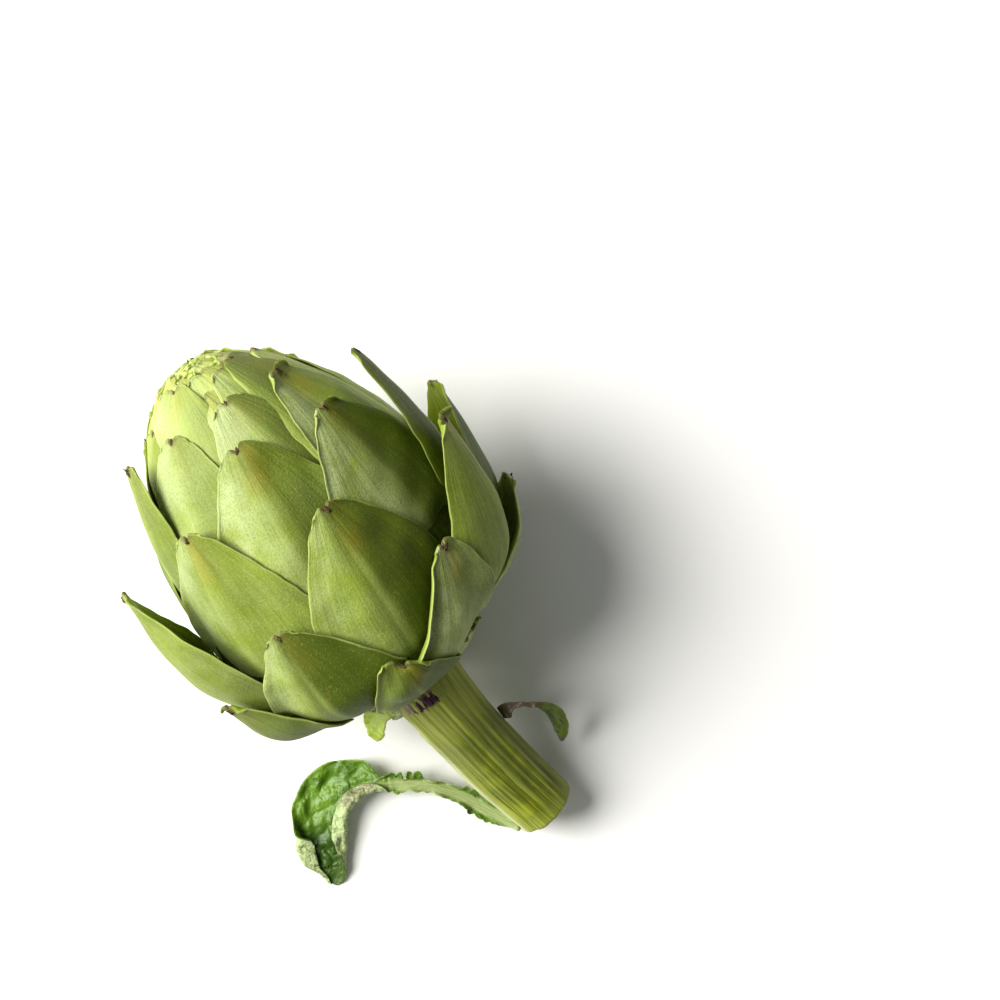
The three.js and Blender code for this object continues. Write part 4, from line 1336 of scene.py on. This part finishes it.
BASE_LEAF = dict(
    midrib=[(0, 10.7, 25), (1.6, 12.9, 24.6), (2.6, 15.2, 24), (3, 17.5, 23), (2.6, 19.5, 21.5),
            (1.4, 21.4, 19.5), (0.1, 23, 17.5), (-1, 24.1, 16)],
    stations=[(0, 0.8, 0.8, 0, 0, 0), (0.2, 1, 1, 0, 10, 10), (0.35, 2, 1.8, 0, 20, 10),
              (0.46, 4.4, 3.4, 5, 25, 10), (0.62, 4.8, 4.2, 5, 20, 5), (0.78, 3.9, 3.9, 0, 10, 0),
              (0.92, 2.6, 2.6, 0, 0, 0), (1, 1.6, 1.6, 0, 0, 0)],
    up=(0.3, 0.35, 0.9), rows=90, rib_shown=0.25, thickness=0.65, rib=0.3, wave=0.15, waves=20,
    lumps=0.2, blister=2.5, vein_gap=2.4, uneven=0.22, seed=330, stalk_end=0.2)
COLLAR_SCALE = dict(
    midrib=[(0.8, 9.6, 26.6), (1.0, 11.5, 25.8), (1.1, 13.2, 24.8), (0.9, 15, 23.6)],
    stations=[(0, 1, 1, 0, 0, 0), (0.45, 1.5, 1.5, 0, 30, 30), (0.8, 1.2, 1.2, 0, 30, 30),
              (1, 0.5, 0.5, 0, 0, 0)],
    up=(0.1, 0.3, 0.95), rows=40, thickness=0.6, rib=0.2, wave=0.1, waves=12, lumps=0.1, blister=2,
    vein_gap=2.4, uneven=0.12, seed=345, stalk_end=-1)
SIDE_LEAF = dict(
    midrib=[(-16.3, -12.4, 22), (-16.4, -15.3, 23.5), (-17.9, -18.3, 24.2), (-20.1, -21.2, 24.3),
            (-22.5, -23.9, 23.4), (-25.2, -25.3, 21.8), (-28.2, -25.5, 19.5), (-31.1, -24.8, 17),
            (-33.6, -23.7, 14.5), (-35.9, -22.3, 12)],
    stations=[(0, 2.6, 1, 0, 0, 0), (0.06, 3, 1.1, 0, 10, 0), (0.12, 3, 0.8, 0, 20, 0),
              (0.17, 0.8, 0.65, 0, 0, 0), (0.25, 0.55, 0.55, 0, 0, 0), (0.4, 0.75, 0.75, 0, 0, 0),
              (0.5, 1.6, 1.7, 20, 25, 25), (0.62, 2.4, 2.5, 20, 30, 30), (0.8, 2.3, 2.4, 20, 30, 30),
              (0.92, 1.3, 1.3, 10, 20, 20), (1, 0.35, 0.35, 0, 0, 0)],
    frills=[(1, 0.0, 0.14, 0.8, 1.1)],
    rows=120, rib_shown=0.1, thickness=0.6, rib=0.35, wave=0.1, waves=15, lumps=0.15, blister=2.2,
    vein_gap=2.6, uneven=0.12, seed=360, stalk_end=-1)


def leaf_piece(name, node, leaf, material, withered):
    points, (t, q, along, reach) = leaf_surface(leaf)
    stalk = smooth_step((leaf["stalk_end"] - t) / 0.08) * smooth_step((2.4 - reach) / 1.2)
    midrib = np.exp(-((reach / (1.5 - 0.9 * t)) ** 2)) * leaf.get("rib_shown", 0.85)
    midrib = midrib * (1 - 0.8 * smooth_step((t - 0.66) / 0.15))
    width = reach / np.maximum(np.abs(q), 1e-3)
    rim = np.where(np.abs(q) > 0.02, width * (1 - np.abs(q)), 3.0)
    thickness = leaf["thickness"] * (1 - 0.35 * q ** 2)
    thickness = thickness + leaf["rib"] * (1 - smooth_step(t * 1.1)) * np.exp(-((reach / 1.4) ** 2))
    values = {
        "fibre": np.stack([reach * np.sign(q), along, reach], -1),
        "finish": np.stack([rim, midrib, np.zeros(t.shape)], -1),
        "growth": np.stack([stalk, withered(t, q), np.pi * (along - 0.75 * reach) / leaf["vein_gap"]], -1),
    }
    piece = blade(name, points, thickness, values, material, press_flat)
    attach(piece, "root")
    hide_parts(node)
    return piece


leaf_piece("curled_leaf_blade", "curled_leaf", CURLED_LEAF,
           leaf_skin("leaf_skin", *LEAF_COLORS),
           lambda t, q: 0.55 * smooth_step((-q - 0.3) / 0.2) * smooth_step((t - 0.53) / 0.03)
           * smooth_step((0.72 - t) / 0.06))
leaf_piece("base_leaf_blade", "base_leaf", BASE_LEAF,
           leaf_skin("young_leaf_skin", *YOUNG_LEAF_COLORS),
           lambda t, q: 0.85 * smooth_step((q - 0.72) / 0.2) * smooth_step((0.66 - t) / 0.15)
           + 0.5 * smooth_step((-q - 0.82) / 0.1) + 0.7 * smooth_step((0.2 - t) / 0.1))
leaf_piece("collar_scale", "base_leaf", COLLAR_SCALE,
           leaf_skin("scale_skin", *SCALE_COLORS),
           lambda t, q: 0.5 * smooth_step((0.3 - t) / 0.2))
leaf_piece("side_leaf_blade", "side_leaf", SIDE_LEAF,
           leaf_skin("side_leaf_skin", *SIDE_LEAF_COLORS),
           lambda t, q: 0.9 * smooth_step((0.47 - t) / 0.12) + 0.9 * smooth_step((t - 0.93) / 0.05))
print("leaves made")

# %% Done
print("all pieces made")
